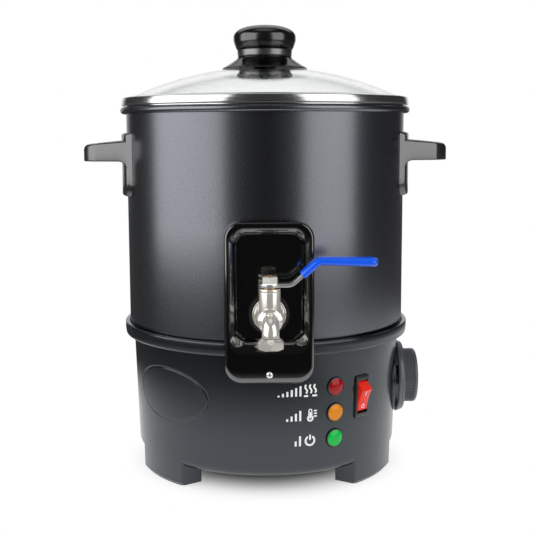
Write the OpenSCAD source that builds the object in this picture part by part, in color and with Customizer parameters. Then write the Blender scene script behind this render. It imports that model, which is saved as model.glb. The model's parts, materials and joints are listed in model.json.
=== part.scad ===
// Electric candle wax melter: a lidded melting pot on a round heated base, with a
// spout valve in a moulded panel in front and the controls beside it.
// Frame: the origin is on the floor below the pot's axis, +Z is up, the spout
// points to -Y and the thermostat knob to +X. All lengths are millimetres.

/* [Pot] */
// Inner diameter of the melting pot
pot_inner_d = 220; // [208:1:232]
// Thickness of the pot's wall
pot_wall = 2; // [1.6:0.1:3]
// Thickness of the pot's floor
pot_floor = 3; // [2:0.5:5]
// Depth of the pot from its rim to its floor
pot_depth = 174; // [160:1:200]
// Outer radius of the pot's bottom edge
pot_corner_r = 8; // [6:0.5:12]
// Diameter of the rolled bead round the rim
rim_bead_d = 5.5; // [4.6:0.1:7]

/* [Base] */
// Height of the ledge that carries the pot
base_h = 114; // [106:1:124]
// Height of the collar band round the top of the base
band_h = 10.2; // [8:0.1:14]
// How far the collar band's ridge stands out from the pot
band_out = 3.8; // [3:0.1:6]
// How far the base wall lies inside the pot's outside, below the band
base_inset = 3.2; // [2:0.1:6]
// Draft of the base wall, in degrees
draft = 1.9; // [0.5:0.1:3]
// Thickness of the base housing's wall
base_wall = 2.8; // [2.2:0.1:3.5]
// Radius of the rounded bottom edge
edge_r = 8; // [5:0.5:10]
// Height of the feet under the housing
foot_h = 14.7; // [11:0.1:20]
// Width of a foot along the wall
foot_w = 58; // [46:1:66]
// Depth of a foot from the wall inwards
foot_depth = 17; // [13:0.5:17.5]
// Thickness of a rubber foot pad
pad_t = 3; // [2:0.5:4]
// How far a foot pad stands out below its foot
pad_out = 1; // [0.6:0.1:1.5]
// Radius of the opening that the bottom cover closes
cover_r = 84; // [80:1:86]
// Thickness of the bottom cover
cover_t = 2; // [1.6:0.2:3]

/* [Lid] */
// Outer radius of curvature of the glass dome
dome_r = 254; // [235:1:300]
// Thickness of the glass
glass_t = 4; // [3:0.5:5]
// Height of the steel ring round the glass
ring_h = 6.5; // [6:0.1:9]
// Depth of the ring's skirt inside the pot
skirt_depth = 5; // [3:0.5:8]
// Radius of the knob's cap
cap_r = 25.3; // [22:0.1:30]
// Height of the knob's cap
cap_h = 19.6; // [16:0.1:24]
// Height of the satin collar below the cap
collar_h = 5.6; // [4:0.1:8]
// Radius of the knob's conical skirt
knob_skirt_r = 34.4; // [30:0.1:40]
// Height of the knob's conical skirt
knob_skirt_h = 9.9; // [8:0.1:12]

/* [Handles] */
// Width of a handle along the pot
handle_w = 82.6; // [74:0.1:90]
// How far a handle reaches out from the pot
handle_reach = 33; // [28:0.1:40]
// Thickness of the handle's bar, seen from above
bar_w = 12; // [10:0.5:14]
// Height of the handle's bar
bar_h = 14.3; // [12:0.1:17]
// Height of the handle's mounting plate
plate_h = 48.7; // [44:0.1:58]
// Thickness of the mounting plate
plate_t = 4.1; // [3:0.1:5]
// How far the plate's top lies below the pot's rim
plate_drop = 21.5; // [16:0.1:30]
// How far the bar's top lies below the plate's top
bar_drop = 6.7; // [4:0.1:11]

/* [Faucet panel] */
// Width of the moulded panel
panel_w = 65; // [60:0.5:72]
// Height of the moulded panel
panel_h = 118.4; // [112:0.1:122]
// Height of the panel's top above the valve's axis
panel_top = 67.7; // [64:0.1:72]
// How far the panel's front stands out from the pot
panel_out = 12.1; // [11:0.1:15]
// Corner radius of the panel's outline
panel_corner_r = 13; // [10:0.5:16]
// Wall thickness of the panel
panel_wall = 2.2; // [1.8:0.1:2.6]

/* [Valve] */
// Height of the valve's axis above the pot's floor
outlet_rise = 24.2; // [22:0.1:32]
// Outer diameter of the valve's threaded tail
tail_d = 16; // [14:0.5:18]
// Diameter of the waterway
way_d = 8; // [7:0.5:9]
// Diameter of the ball
ball_d = 13; // [12.5:0.1:14]
// Diameter of the spherical valve body
body_d = 20; // [19.5:0.1:23]
// Distance of the valve's stem in front of the pot
stem_out = 25; // [24:0.5:28]
// Distance of the spout in front of the stem
spout_out = 19; // [18:0.5:24]
// Outer diameter of the spout tube
spout_d = 12.1; // [12:0.1:14]
// Width of the spout nozzle across its flats
nozzle_af = 17.3; // [16:0.1:20]
// Length of the spout nozzle's hexagon
nozzle_h = 6; // [5:0.5:9]
// Diameter of the stem
stem_d = 6; // [5:0.1:6.5]
// Thickness of the lever's steel strip
lever_t = 2.4; // [1.8:0.1:3]
// Width of the lever's steel strip
lever_w = 9; // [7:0.5:11]
// Length of the lever from the stem to its tip
lever_l = 74; // [66:0.5:90]
// Angle of the lever's bent part, in degrees
lever_angle = 42; // [35:1:45]
// Thickness of the lever's vinyl sleeve over the strip
sleeve_t = 1.8; // [1.2:0.1:2.2]

/* [Controls] */
// Angle of the lamps round the wall from the front, in degrees
lamp_angle = 27.6; // [24:0.1:29]
// Height of the middle lamp
lamp_z = 62; // [58:0.5:66]
// Distance between the lamps
lamp_pitch = 20; // [18:0.5:21]
// Diameter of a lamp's lens
lens_d = 13; // [11:0.1:14]
// Angle of the rocker switch round the wall from the front, in degrees
switch_angle = 41.3; // [40:0.1:46]
// Height of the rocker switch's centre
switch_z = 70.5; // [64:0.5:74]
// Height of the rocker switch's bezel
bezel_h = 33; // [32:0.1:36]
// Width of the rocker switch's bezel
bezel_w = 14.6; // [14.2:0.1:17]
// Swing of the rocker to each side of level, in degrees
rocker_tilt = 16; // [12:1:16]
// Height of the thermostat knob's axis
knob_z = 67.2; // [60:0.1:70]
// Radius of the thermostat knob's skirt
dial_r = 29.9; // [26:0.1:32]
// Radius of the thermostat knob's ribbed grip
grip_r = 22.4; // [18:0.1:24]
// Height of the ribbed grip
grip_h = 11.4; // [9:0.1:16]
// Number of ribs round the grip
grip_ribs = 60; // [24:1:72]
// Diameter of the thermostat's shaft
shaft_d = 6; // [5:0.5:8]
// Height of the power inlet's centre
inlet_z = 46; // [40:1:56]

/* [Heater] */
// Radius of the heating plate
plate_r = 85; // [70:1:90]
// Thickness of the heating plate
heater_t = 8; // [6:0.5:10]
// Radius of the heating element's loop
element_r = 58; // [45:1:65]
// Diameter of the heating element's tube
element_d = 7; // [6:0.5:8]

/* [Hidden] */
$fn = 96;
eps = 0.01;
fit = 0.05;        // radial clearance of running fits and of seats on curved walls
slack = 0.3;       // gap between curved faces of pieces that part

// Pot
pot_ri = pot_inner_d / 2;
pot_r = pot_ri + pot_wall;
floor_z = base_h + pot_floor;
rim_z = floor_z + pot_depth;
bead_r = rim_bead_d / 2;
bead_lap = 0.8;
bead_c = pot_r + bead_r - bead_lap;
bead_z = rim_z - bead_r;

// Base
band_rise = 4.9;
band_top = base_h + band_rise;
band_low = band_top - band_h;
band_r = pot_r + band_out;
band_taper = 2;
base_top_r = pot_r - base_inset;
function base_r(z) = base_top_r - (band_low - z) * tan(draft);
edge_z = foot_h + edge_r;
edge_c = base_r(edge_z) - edge_r;
ledge_r = pot_r - pot_corner_r - 8;
ledge_t = 4;
ledge_flat = 5;
step_w = 10;
step_t = 2.5;
step_r = cover_r - step_w;
step_z = foot_h + 0.5 + cover_t;
cover_screw_r = cover_r - step_w / 2;
foot_angles = [55, 125, 235, 305];
foot_corner = 2.5;
foot_r = base_r(edge_z);
pad_inset = 3;
oval_a = 39.1;
oval_b = 20.8;
oval_angle = -46.2;
oval_z = 72.3;
oval_line = 1;
oval_depth = 0.5;

// Controls
lamp_zs = [lamp_z + lamp_pitch, lamp_z, lamp_z - lamp_pitch];
lamp_rim_r = lens_d / 2 + 0.6;
barrel_r = 5;
spot_depth = 0.4;
bezel_t = 2;
switch_w = 12.5;
switch_h = bezel_h - 4.6;
rocker_w = 10.5;
rocker_face = 8.6;
rocker_rise = 8.4;
rocker_end = 12.6;
pivot_depth = 4;
pivot_r = 1.5;
boss_x = base_r(knob_z) - 2;
boss_in = boss_x - 5;
dial_gap = 2.6;
dial_t = 5.8;
dial_x = boss_x + dial_gap;
grip_x = dial_x + dial_t;
face_x = grip_x + grip_h;
inlet_w = 27;
inlet_h = 20;
inlet_flange = 2.4;
inlet_pad = 0.6;
inlet_depth = 17;

// Valve: distances along its axis are counted from the pot's axis
valve_z = floor_z + outlet_rise;
niche_d = pot_r + 2.1;
front_d = pot_r + panel_out;
washer_t = 3;
tail_l = 13;
flange_t = 2.5;
flange_r = 12.3;
neck_t = 2;
washer_d = niche_d;
flange_d = washer_d + washer_t;
neck_d = flange_d + flange_t;
stem_dist = pot_r + stem_out;
spout_dist = stem_dist + spout_out;
seat_t = 3;
chamber_r = ball_d / 2 + 0.5;
seat_in = 2.6;
bonnet_r = 7.5;
bonnet_top = valve_z + 21.8;
gland_t = 1.6;
gland_sink = 1;
packing_t = 4;
lever_gap = 1.2;
lever_z = bonnet_top + lever_gap;
nut_t = 5;
stem_over = 0.6;
bend_r = 8;
lever_bend_x = 12.2;
lever_bend_r = 8;
lever_rise = 16.8;
sleeve_from = 22;
sleeve_w = lever_w + 2 * sleeve_t;
nozzle_lap = 3;
nozzle_z = valve_z - 17.2;
panel_z1 = valve_z + panel_top;
panel_z0 = panel_z1 - panel_h;
edge_round = 3;
foot_round = 6;

// Lid
lid_seat = rim_z + slack;
ring_low = lid_seat + 0.6;
ring_r = bead_c + bead_r - 0.9;
ring_roll = 2;
glass_r = pot_ri + 1.5;
lip_t = 0.8;
glass_edge_z = ring_low + ring_h - lip_t - 0.6;
dome_drop = dome_r - sqrt(dome_r * dome_r - glass_r * glass_r);
dome_z = glass_edge_z + dome_drop;
dome_c = dome_z - dome_r;
knob_hole_r = 5;
function dome_at(r) = dome_c + sqrt(dome_r * dome_r - r * r);
skirt_z = dome_at(knob_skirt_r) + 0.6;
collar_z = skirt_z + knob_skirt_h;
cap_z = collar_z + collar_h;
cap_low_h = 8.6;

// Heater stack below the pot
heater_z = base_h - heater_t;
stud_r = 3;
reflector_t = 0.8;
spacer_h = 7;
reflector_z = heater_z - spacer_h;
bridge_t = 2;
bridge_z = reflector_z - reflector_t - bridge_t;
bridge_w = 20;
clamp_nut_h = 5;
stud_z = bridge_z - clamp_nut_h - 3;

// ---------------------------------------------------------------- shared shapes

// Points of an arc, from angle a0 to angle a1
function arc(c, r, a0, a1, n = 8) =
    [for (i = [0:n]) let (a = a0 + (a1 - a0) * i / n) c + r * [cos(a), sin(a)]];

// Flat rounded rectangle, centred
module rounded(w, h, r) {
    square([w - 2 * r, h], center = true);
    square([w, h - 2 * r], center = true);
    for (x = [-1, 1], y = [-1, 1])
        translate([x * (w / 2 - r), y * (h / 2 - r)]) circle(r);
}

module tube(r_out, r_in, h) {
    difference() {
        cylinder(r = r_out, h = h);
        translate([0, 0, -1]) cylinder(r = r_in, h = h + 2);
    }
}

module hex_prism(af, h) {
    cylinder(d = af / cos(30), h = h, $fn = 6);
}

// Hexagon nut with chamfered corners and a bore
module hex_nut(af, h, bore) {
    difference() {
        intersection() {
            hex_prism(af, h);
            union() {
                cylinder(d1 = af * 0.97, d2 = af * 1.16, h = h * 0.2);
                translate([0, 0, h * 0.2]) cylinder(d = af * 1.16, h = h * 0.6);
                translate([0, 0, h * 0.8]) cylinder(d1 = af * 1.16, d2 = af * 0.97, h = h * 0.2);
            }
        }
        translate([0, 0, -1]) cylinder(d = bore, h = h + 2);
    }
}

// Round-headed screw along +Z, its head's seat at z = 0 and its shank below
module pan_screw(head_d, head_h, shank_d, length) {
    difference() {
        union() {
            intersection() {
                translate([0, 0, head_h - head_d * 0.62]) sphere(r = head_d * 0.62);
                cylinder(d = head_d, h = head_h);
            }
            translate([0, 0, -length]) cylinder(d = shank_d, h = length + eps);
        }
        for (a = [0, 90])
            rotate([0, 0, a])
                translate([-head_d * 0.28, -head_d * 0.06, head_h * 0.45])
                    cube([head_d * 0.56, head_d * 0.12, head_h]);
    }
}

// Children stand on the drafted base wall: +Z outwards, +Y up, +X to the right
module on_wall(angle, z) {
    rotate([0, 0, angle]) translate([0, -base_r(z), z]) rotate([90 + draft, 0, 0]) children();
}

// Children lie along the valve: +Z forwards from the pot's axis, +Y up
module on_valve() {
    translate([0, 0, valve_z]) rotate([90, 0, 0]) children();
}

// Children lie along the thermostat's axis: +Z outwards along +X, +Y up
module on_knob() {
    translate([0, 0, knob_z]) rotate([90, 0, 90]) children();
}

// Solid of revolution of a cup's outside, with a rounded bottom edge
module cup_section(r, z0, z1, corner) {
    translate([0, z0]) square([r - corner, z1 - z0]);
    translate([0, z0 + corner]) square([r, z1 - z0 - corner]);
    translate([r - corner, z0 + corner]) circle(corner);
}

// ---------------------------------------------------------------- pot

pot_colour = "#3a3c3f";
black = "#17181a";
steel = "#c9cbce";
brass = "#b8923f";
nickel = "#d9d7d2";
rubber = "#202020";

module pot_section() {
    wall_top = bead_z + 1.2;
    difference() {
        cup_section(pot_r, base_h, wall_top, pot_corner_r);
        cup_section(pot_ri, floor_z, wall_top + 1, pot_corner_r - pot_wall);
    }
    translate([pot_ri + pot_wall / 2, wall_top]) circle(pot_wall / 2);
    translate([bead_c, bead_z]) circle(bead_r);
}

module pot() {
    color(pot_colour) difference() {
        rotate_extrude() pot_section();
        on_valve() translate([0, 0, pot_ri - 5]) cylinder(r = tail_d / 2 + 0.2, h = pot_wall + 10);
        each_handle_screw() translate([0, 0, -5]) cylinder(r = screw_r + 0.15, h = 15);
    }
}

// Weld stud under the middle of the pot's floor
module centre_stud() {
    color(steel) {
        translate([0, 0, stud_z]) cylinder(r = stud_r, h = base_h - stud_z);
    }
}

// ---------------------------------------------------------------- handles

screw_r = 2;
plate_z1 = rim_z - plate_drop;
plate_z0 = plate_z1 - plate_h;
bar_z1 = plate_z1 - bar_drop;
bar_z0 = bar_z1 - bar_h;
handle_x = pot_r + handle_reach;
handle_corner = 13.8;
screw_y = handle_w / 2 - bar_w / 2;
screw_angle = asin(screw_y / pot_r);

// Children stand on the pot's wall where a handle's screw goes through, +Z outwards
module each_handle_screw() {
    for (side = [0, 180], a = [-screw_angle, screw_angle])
        rotate([0, 0, side + a]) translate([pot_r, 0, (bar_z0 + bar_z1) / 2]) rotate([0, 90, 0])
            children();
}

// Outline of the bar seen from above, with the finger opening
module bar_plan() {
    inner_x = handle_x - bar_w;
    inner_w = handle_w - 2 * bar_w;
    inner_corner = handle_corner - bar_w + 4;
    difference() {
        union() {
            translate([0, -handle_w / 2]) square([handle_x - handle_corner, handle_w]);
            translate([0, -handle_w / 2 + handle_corner])
                square([handle_x, handle_w - 2 * handle_corner]);
            for (y = [-1, 1])
                translate([handle_x - handle_corner, y * (handle_w / 2 - handle_corner)])
                    circle(handle_corner);
        }
        translate([0, -inner_w / 2]) square([inner_x - inner_corner, inner_w]);
        translate([0, -inner_w / 2 + inner_corner]) square([inner_x, inner_w - 2 * inner_corner]);
        for (y = [-1, 1])
            translate([inner_x - inner_corner, y * (inner_w / 2 - inner_corner)])
                circle(inner_corner);
    }
}

// Side view of the bar: sloping top, rounded nose, fillet under the arm
module bar_side() {
    root_x = sqrt(pow(pot_r + plate_t, 2) - pow(handle_w / 2, 2));
    fillet = 6.9;
    nose = 6;
    slope = 2;
    lip = 1;
    polygon(concat(
        [[root_x - 12, bar_z1]],
        [[handle_x - 2 * nose, bar_z1 - slope * 0.6]],
        arc([handle_x - nose, bar_z1 - slope - nose], nose, 90, 0),
        [[handle_x, bar_z0 + lip], [handle_x - 5, bar_z0 + lip], [handle_x - 6, bar_z0]],
        arc([root_x + fillet, bar_z0 - fillet], fillet, 90, 180),
        [[root_x - 12, bar_z0 - fillet]]));
}

// Outline of the mounting plate seen from the side
module plate_outline() {
    low = 10;
    high = 3;
    w = handle_w / 2;
    translate([-w + low, 0]) square([2 * (w - low), plate_h - high]);
    translate([-w, low]) square([2 * w, plate_h - low - high]);
    translate([-w + high, low]) square([2 * (w - high), plate_h - low]);
    for (s = [-1, 1]) {
        translate([s * (w - low), low]) circle(low);
        translate([s * (w - high), plate_h - high]) circle(high);
    }
}

module handle_solid() {
    difference() {
        union() {
            intersection() {
                translate([0, 0, plate_z0]) cylinder(r = pot_r + plate_t, h = plate_h);
                translate([0, 0, plate_z0]) rotate([90, 0, 90])
                    linear_extrude(pot_r + plate_t + 1) plate_outline();
            }
            intersection() {
                translate([0, 0, plate_z0]) linear_extrude(plate_h) bar_plan();
                translate([0, handle_w, 0]) rotate([90, 0, 0]) linear_extrude(2 * handle_w) bar_side();
            }
        }
        translate([0, 0, plate_z0 - 1]) cylinder(r = pot_r + fit, h = plate_h + 2);
        each_handle_screw() translate([0, 0, -5]) cylinder(r = screw_r, h = 5 + 12);
    }
}

module handle_right() {
    color(black) handle_solid();
}

module handle_left() {
    color(black) mirror([1, 0, 0]) handle_solid();
}

module handle_screws() {
    head_d = 8;
    head_h = 2.6;
    seat = pot_r - sqrt(pot_ri * pot_ri - head_d * head_d / 4);
    color(steel) each_handle_screw()
        translate([0, 0, -seat]) rotate([180, 0, 0]) pan_screw(head_d, head_h, 2 * screw_r, seat + 11);
}

// ---------------------------------------------------------------- lid

module glass_section() {
    intersection() {
        difference() {
            translate([0, dome_c]) circle(dome_r, $fn = 360);
            translate([0, dome_c]) circle(dome_r - glass_t, $fn = 360);
        }
        translate([knob_hole_r, rim_z - 5]) square([glass_r - knob_hole_r, 60]);
    }
}

module lid_glass() {
    color("#cfe0dc", 0.45) rotate_extrude() glass_section();
}

// Rolled steel ring: it clips round the glass, rests on the bead and dips into the pot
module lid_ring() {
    skirt_r = pot_ri - 1;
    lip_r = glass_r - 3.6;
    color(steel) rotate_extrude() difference() {
        polygon(concat(
            [[lip_r, dome_at(lip_r) + lip_t], [glass_r + 0.6, dome_at(glass_r) + lip_t]],
            arc([ring_r - ring_roll, ring_low + ring_h - ring_roll], ring_roll, 90, 0),
            arc([ring_r - 1.2, ring_low + 1.2], 1.2, 0, -90, 4),
            [[bead_c - 0.75, ring_low], [bead_c - 0.75, lid_seat]],
            [[skirt_r, lid_seat], [skirt_r, lid_seat - skirt_depth]],
            [[skirt_r - 1, lid_seat - skirt_depth], [skirt_r - 1, lid_seat - 0.2]],
            [[lip_r, dome_at(lip_r) - glass_t - 1.6]]));
        glass_section();
    }
}

// Black conical skirt of the knob, hollow below, with a hub that stands on the glass
module knob_skirt() {
    top_r = cap_r - 3.4;
    shell = 2;
    hub_r = 9;
    color(black) rotate_extrude() difference() {
        union() {
            polygon(concat(
                [[knob_hole_r - 2, collar_z], [top_r, collar_z]],
                [[top_r + 1.2, collar_z - 2]],
                [[knob_skirt_r - 3.5, skirt_z + 2.4], [knob_skirt_r, skirt_z + 0.6]],
                [[knob_skirt_r, skirt_z], [knob_skirt_r - shell, skirt_z]],
                [[top_r - shell, collar_z - shell * 1.4], [hub_r, collar_z - shell * 1.4]],
                [[hub_r, dome_at(hub_r)], [knob_hole_r - 2, dome_at(hub_r)]]));
        }
        translate([0, dome_c]) circle(dome_r, $fn = 360);
    }
}

module knob_collar() {
    color("#4a4b4d") translate([0, 0, collar_z]) difference() {
        cylinder(r1 = cap_r - 3.55, r2 = cap_r - 3.2, h = collar_h);
        translate([0, 0, -1]) cylinder(r = 8, h = collar_h + 2);
    }
}

// Gloss cap: a low superellipse dome on an inward tapering lower half, hollowed
module knob_cap() {
    top_h = cap_h - cap_low_h;
    seam = 0.25;
    mid = cap_z + cap_low_h;
    color(black) rotate_extrude() difference() {
        polygon(concat(
            [[0, cap_z], [cap_r - 3.2, cap_z], [cap_r - 2.7, cap_z + 0.4]],
            [[cap_r - 1.5, cap_z + 2.8], [cap_r - 0.5, cap_z + 5.6], [cap_r, mid - seam]],
            [[cap_r - seam, mid]],
            [for (i = [1:14]) let (t = 90 * i / 14)
                [cap_r * pow(max(cos(t), 0), 2 / 2.4), mid + top_h * pow(sin(t), 2 / 2.4)]]));
        translate([0, cap_z - 1]) square([knob_insert_r, 13]);
    }
}

knob_insert_r = 6;
knob_screw_r = 2.5;

// Brass threaded insert moulded into the cap
module knob_insert() {
    color(brass) translate([0, 0, cap_z]) tube(knob_insert_r, knob_screw_r, 12);
}

// Soft washer between the glass and the screw's head
module knob_washer() {
    r = 12;
    top = dome_c + sqrt(pow(dome_r - glass_t, 2) - r * r);
    color("#e6e6e2") translate([0, 0, top - 1.6]) tube(r, knob_screw_r + 0.2, 1.6);
}

module knob_screw() {
    seat = dome_c + sqrt(pow(dome_r - glass_t, 2) - 144) - 1.6;
    color(steel) translate([0, 0, seat]) rotate([180, 0, 0])
        pan_screw(10, 3, 2 * knob_screw_r, cap_z + 10 - seat);
}

// ---------------------------------------------------------------- faucet panel

// One corner of the panel's outline: a round post along the valve's axis whose
// front edge is rounded
module panel_corner(r, round, d0, d1) {
    translate([0, 0, d0]) cylinder(r = r, h = d1 - round - d0, $fn = 32);
    rotate_extrude($fn = 32) polygon(concat(
        [[0, d1 - round]], arc([r - round, d1 - round], round, 0, 90, 5), [[0, d1]]));
}

// Block with the panel's outline, shrunk by in, up to the distance d1
module panel_block(in, d1, low_round) {
    r = panel_corner_r - in;
    hull() for (x = [-1, 1]) {
        translate([x * (panel_w / 2 - panel_corner_r), panel_top - panel_corner_r, 0])
            panel_corner(r, edge_round - in * 0.8, pot_r - 14, d1);
        translate([x * (panel_w / 2 - panel_corner_r), panel_top - panel_h + panel_corner_r, 0])
            panel_corner(r, low_round, pot_r - 14, d1);
    }
}

// The niche: a dish whose walls slope in to a flat floor, grown by out
module panel_niche(out) {
    mouth_w = panel_w / 2 - 2.6;
    mouth_r = 11;
    floor_w = 23;
    floor_r = 8;
    mouth = [panel_top - 2.6, panel_top - panel_h + 21.5];
    bed = [panel_top - 11, panel_top - panel_h + 32.5];
    hull() for (x = [-1, 1], i = [0, 1]) {
        s = i == 0 ? -1 : 1;
        translate([x * (mouth_w - mouth_r), mouth[i] + s * mouth_r, front_d])
            cylinder(r = mouth_r + out, h = 4, $fn = 32);
        translate([x * (floor_w - floor_r), bed[i] + s * floor_r, niche_d - out])
            cylinder(r = floor_r + out * 0.6, h = 0.1, $fn = 32);
    }
}

// Everything that the panel lies against: pot, band and base wall
module behind_panel() {
    rotate_extrude() polygon([
        [0, foot_h], [base_r(foot_h) + fit, foot_h], [base_r(band_low) + fit, band_low],
        [band_r - band_taper + fit, band_low - fit], [band_r + fit, band_top - 1.2],
        [band_r + fit, band_top + fit], [pot_r + fit, band_top + fit],
        [pot_r + fit, rim_z - 30], [0, rim_z - 30]]);
}

panel_screw_y = panel_top - panel_h + 7.5;
panel_boss_r = 4;

module faucet_panel() {
    color("#0c0c0d") difference() {
        on_valve() difference() {
            union() {
                difference() {
                    panel_block(0, front_d, foot_round);
                    panel_block(panel_wall, front_d - panel_wall, foot_round - panel_wall);
                }
                intersection() {
                    panel_niche(panel_wall);
                    panel_block(0, front_d, foot_round);
                }
                translate([0, panel_screw_y, pot_r - 14])
                    cylinder(r = panel_boss_r, h = front_d - panel_wall / 2 - pot_r + 14);
                translate([0, 0, pot_r - 2]) cylinder(r = flange_r + 2, h = 3);
            }
            panel_niche(0);
            translate([0, 0, pot_r - 20]) cylinder(r = tail_d / 2 + 0.2, h = 40);
            translate([0, panel_screw_y, pot_r - 20]) cylinder(r = 1.6, h = 50);
        }
        behind_panel();
    }
}

module panel_screw() {
    color(steel) on_valve() translate([0, panel_screw_y, front_d])
        pan_screw(4.8, 1.6, 3, front_d - pot_r + 9);
}

// ---------------------------------------------------------------- valve

module valve_washer() {
    color(rubber) on_valve() translate([0, 0, washer_d]) tube(flange_r + 2.4, tail_d / 2 + fit, washer_t);
}

// Round escutcheon with a raised inner step
module valve_flange() {
    color(nickel) on_valve() {
        difference() {
            union() {
                translate([0, 0, flange_d]) cylinder(r1 = flange_r - 0.4, r2 = flange_r, h = 0.6);
                translate([0, 0, flange_d + 0.6]) cylinder(r = flange_r, h = flange_t - 1.2);
                translate([0, 0, neck_d - 0.6]) cylinder(r1 = flange_r, r2 = flange_r - 0.6, h = 0.6);
                translate([0, 0, neck_d]) cylinder(r1 = flange_r - 1.6, r2 = flange_r - 2.4, h = neck_t);
            }
            translate([0, 0, flange_d - 1]) cylinder(r = tail_d / 2 + fit, h = flange_t + neck_t + 2);
        }
    }
}

module valve_body() {
    tail_in = pot_ri - tail_l;
    shoulder = neck_d + neck_t;
    body_front = stem_dist + body_d / 2 - 1.5;
    color(nickel) difference() {
        union() {
            on_valve() {
                translate([0, 0, tail_in]) cylinder(d = tail_d, h = shoulder - tail_in + eps);
                translate([0, 0, shoulder]) cylinder(r = chamber_r + 1.6, h = stem_dist - shoulder);
                translate([0, 0, stem_dist]) cylinder(r = chamber_r + 1.6, h = body_front - stem_dist);
                translate([0, 0, stem_dist]) sphere(d = body_d);
            }
            translate([0, -stem_dist, valve_z]) cylinder(r = bonnet_r, h = bonnet_top - valve_z - 0.4);
            translate([0, -stem_dist, bonnet_top - 0.4 - eps])
                cylinder(r1 = bonnet_r, r2 = bonnet_r - 0.4, h = 0.4 + eps);
        }
        on_valve() {
            translate([0, 0, tail_in - 1]) cylinder(d = way_d, h = stem_dist - tail_in);
            translate([0, 0, stem_dist - ball_d / 2 - 1]) cylinder(r = chamber_r, h = body_d);
            translate([0, 0, body_front]) cylinder(r = body_d, h = body_d);
        }
        translate([0, -stem_dist, valve_z]) cylinder(r = stem_d / 2 + fit, h = 40);
        translate([0, -stem_dist, bonnet_top - gland_sink - packing_t]) cylinder(r = 5, h = 20);
    }
}

// Two PTFE rings that carry the ball
module ball_seats() {
    color("#f2f2ee") on_valve() difference() {
        for (s = [-1, 1])
            translate([0, 0, stem_dist + s * (ball_d / 2 + 1 - seat_t / 2) - seat_t / 2])
                tube(chamber_r, way_d / 2, seat_t);
        translate([0, 0, stem_dist]) sphere(r = ball_d / 2 + fit);
    }
}

// Drilled ball; closed at rest, its waterway lies across the valve
module valve_ball() {
    slot_w = 3;
    slot_h = 2;
    color(steel) translate([0, -stem_dist, valve_z]) difference() {
        sphere(d = ball_d);
        rotate([0, 90, 0]) translate([0, 0, -ball_d]) cylinder(d = way_d - 1, h = 2 * ball_d);
        translate([-ball_d, -slot_w / 2, ball_d / 2 - slot_h]) cube([2 * ball_d, slot_w, 10]);
    }
}

// Stem: tang in the ball's slot, round shaft, flats under the lever and a threaded top
module valve_stem() {
    tang_w = 2.8;
    collar_r = stem_d / 2;
    color("#a98a52") translate([0, -stem_dist, 0]) {
        translate([-2.5, -tang_w / 2, valve_z + ball_d / 2 - 1.9]) cube([5, tang_w, 3]);
        translate([0, 0, valve_z + ball_d / 2 + 0.2])
            cylinder(r = collar_r, h = lever_z - valve_z - ball_d / 2 - 0.2);
        translate([0, 0, lever_z]) cylinder(r = stem_d / 2 - 0.5, h = lever_t + nut_t + stem_over);
    }
}

module stem_packing() {
    color("#f2f2ee") translate([0, -stem_dist, bonnet_top - gland_sink - packing_t])
        tube(5, stem_d / 2 + fit, packing_t);
}

module gland_nut() {
    color(brass) translate([0, -stem_dist, bonnet_top - gland_sink]) tube(4.9, stem_d / 2 + fit, gland_t);
}

module lever_nut() {
    color(nickel) translate([0, -stem_dist, lever_z + lever_t]) rotate([0, 0, 30])
        hex_nut(10.4, nut_t, stem_d - 1);
}

// Red fibre washer inside the pot, its outer side shaped to the wall
module inner_washer() {
    color("#9b3a2c") intersection() {
        on_valve() translate([0, 0, pot_ri - 4]) tube(13, tail_d / 2 + fit, 6);
        cylinder(r = pot_ri - fit, h = rim_z, $fn = 480);
    }
}

module lock_nut() {
    color(nickel) on_valve() translate([0, 0, pot_ri - 4 - 5.5]) hex_nut(22, 5.5, tail_d);
}

// Elbow that turns the waterway down; its tail holds the front seat in the body
module valve_spout() {
    body_front = stem_dist + body_d / 2 - 1.5;
    seat_front = stem_dist + ball_d / 2 + 1;
    bore_r = 4.5;
    drop = valve_z - bend_r - nozzle_z - nozzle_h + nozzle_lap - 1.5;
    tube_z = valve_z - bend_r - drop;
    color(nickel) difference() {
        union() {
            on_valve() {
                translate([0, 0, seat_front]) cylinder(r = chamber_r, h = body_front - seat_front + eps);
                translate([0, 0, body_front]) cylinder(r1 = chamber_r + 1.6, r2 = spout_d / 2, h = 1.4);
                translate([0, 0, body_front])
                    cylinder(d = spout_d, h = spout_dist - bend_r - body_front + eps);
            }
            translate([0, -spout_dist + bend_r, valve_z - bend_r])
                rotate([0, 0, -90]) rotate([90, 0, 0])
                    rotate_extrude(angle = 90) translate([bend_r, 0]) circle(d = spout_d);
            translate([0, -spout_dist, tube_z]) cylinder(d = spout_d, h = drop + eps);
        }
        on_valve() translate([0, 0, seat_front - 1])
            cylinder(r = bore_r, h = spout_dist - bend_r - seat_front + 1 + eps);
        translate([0, -spout_dist + bend_r, valve_z - bend_r])
            rotate([0, 0, -90]) rotate([90, 0, 0])
                rotate_extrude(angle = 90) translate([bend_r, 0]) circle(r = bore_r);
        translate([0, -spout_dist, tube_z - 1]) cylinder(r = bore_r, h = drop + 1 + eps);
    }
}

nozzle_bore_r = 4.75;

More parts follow.
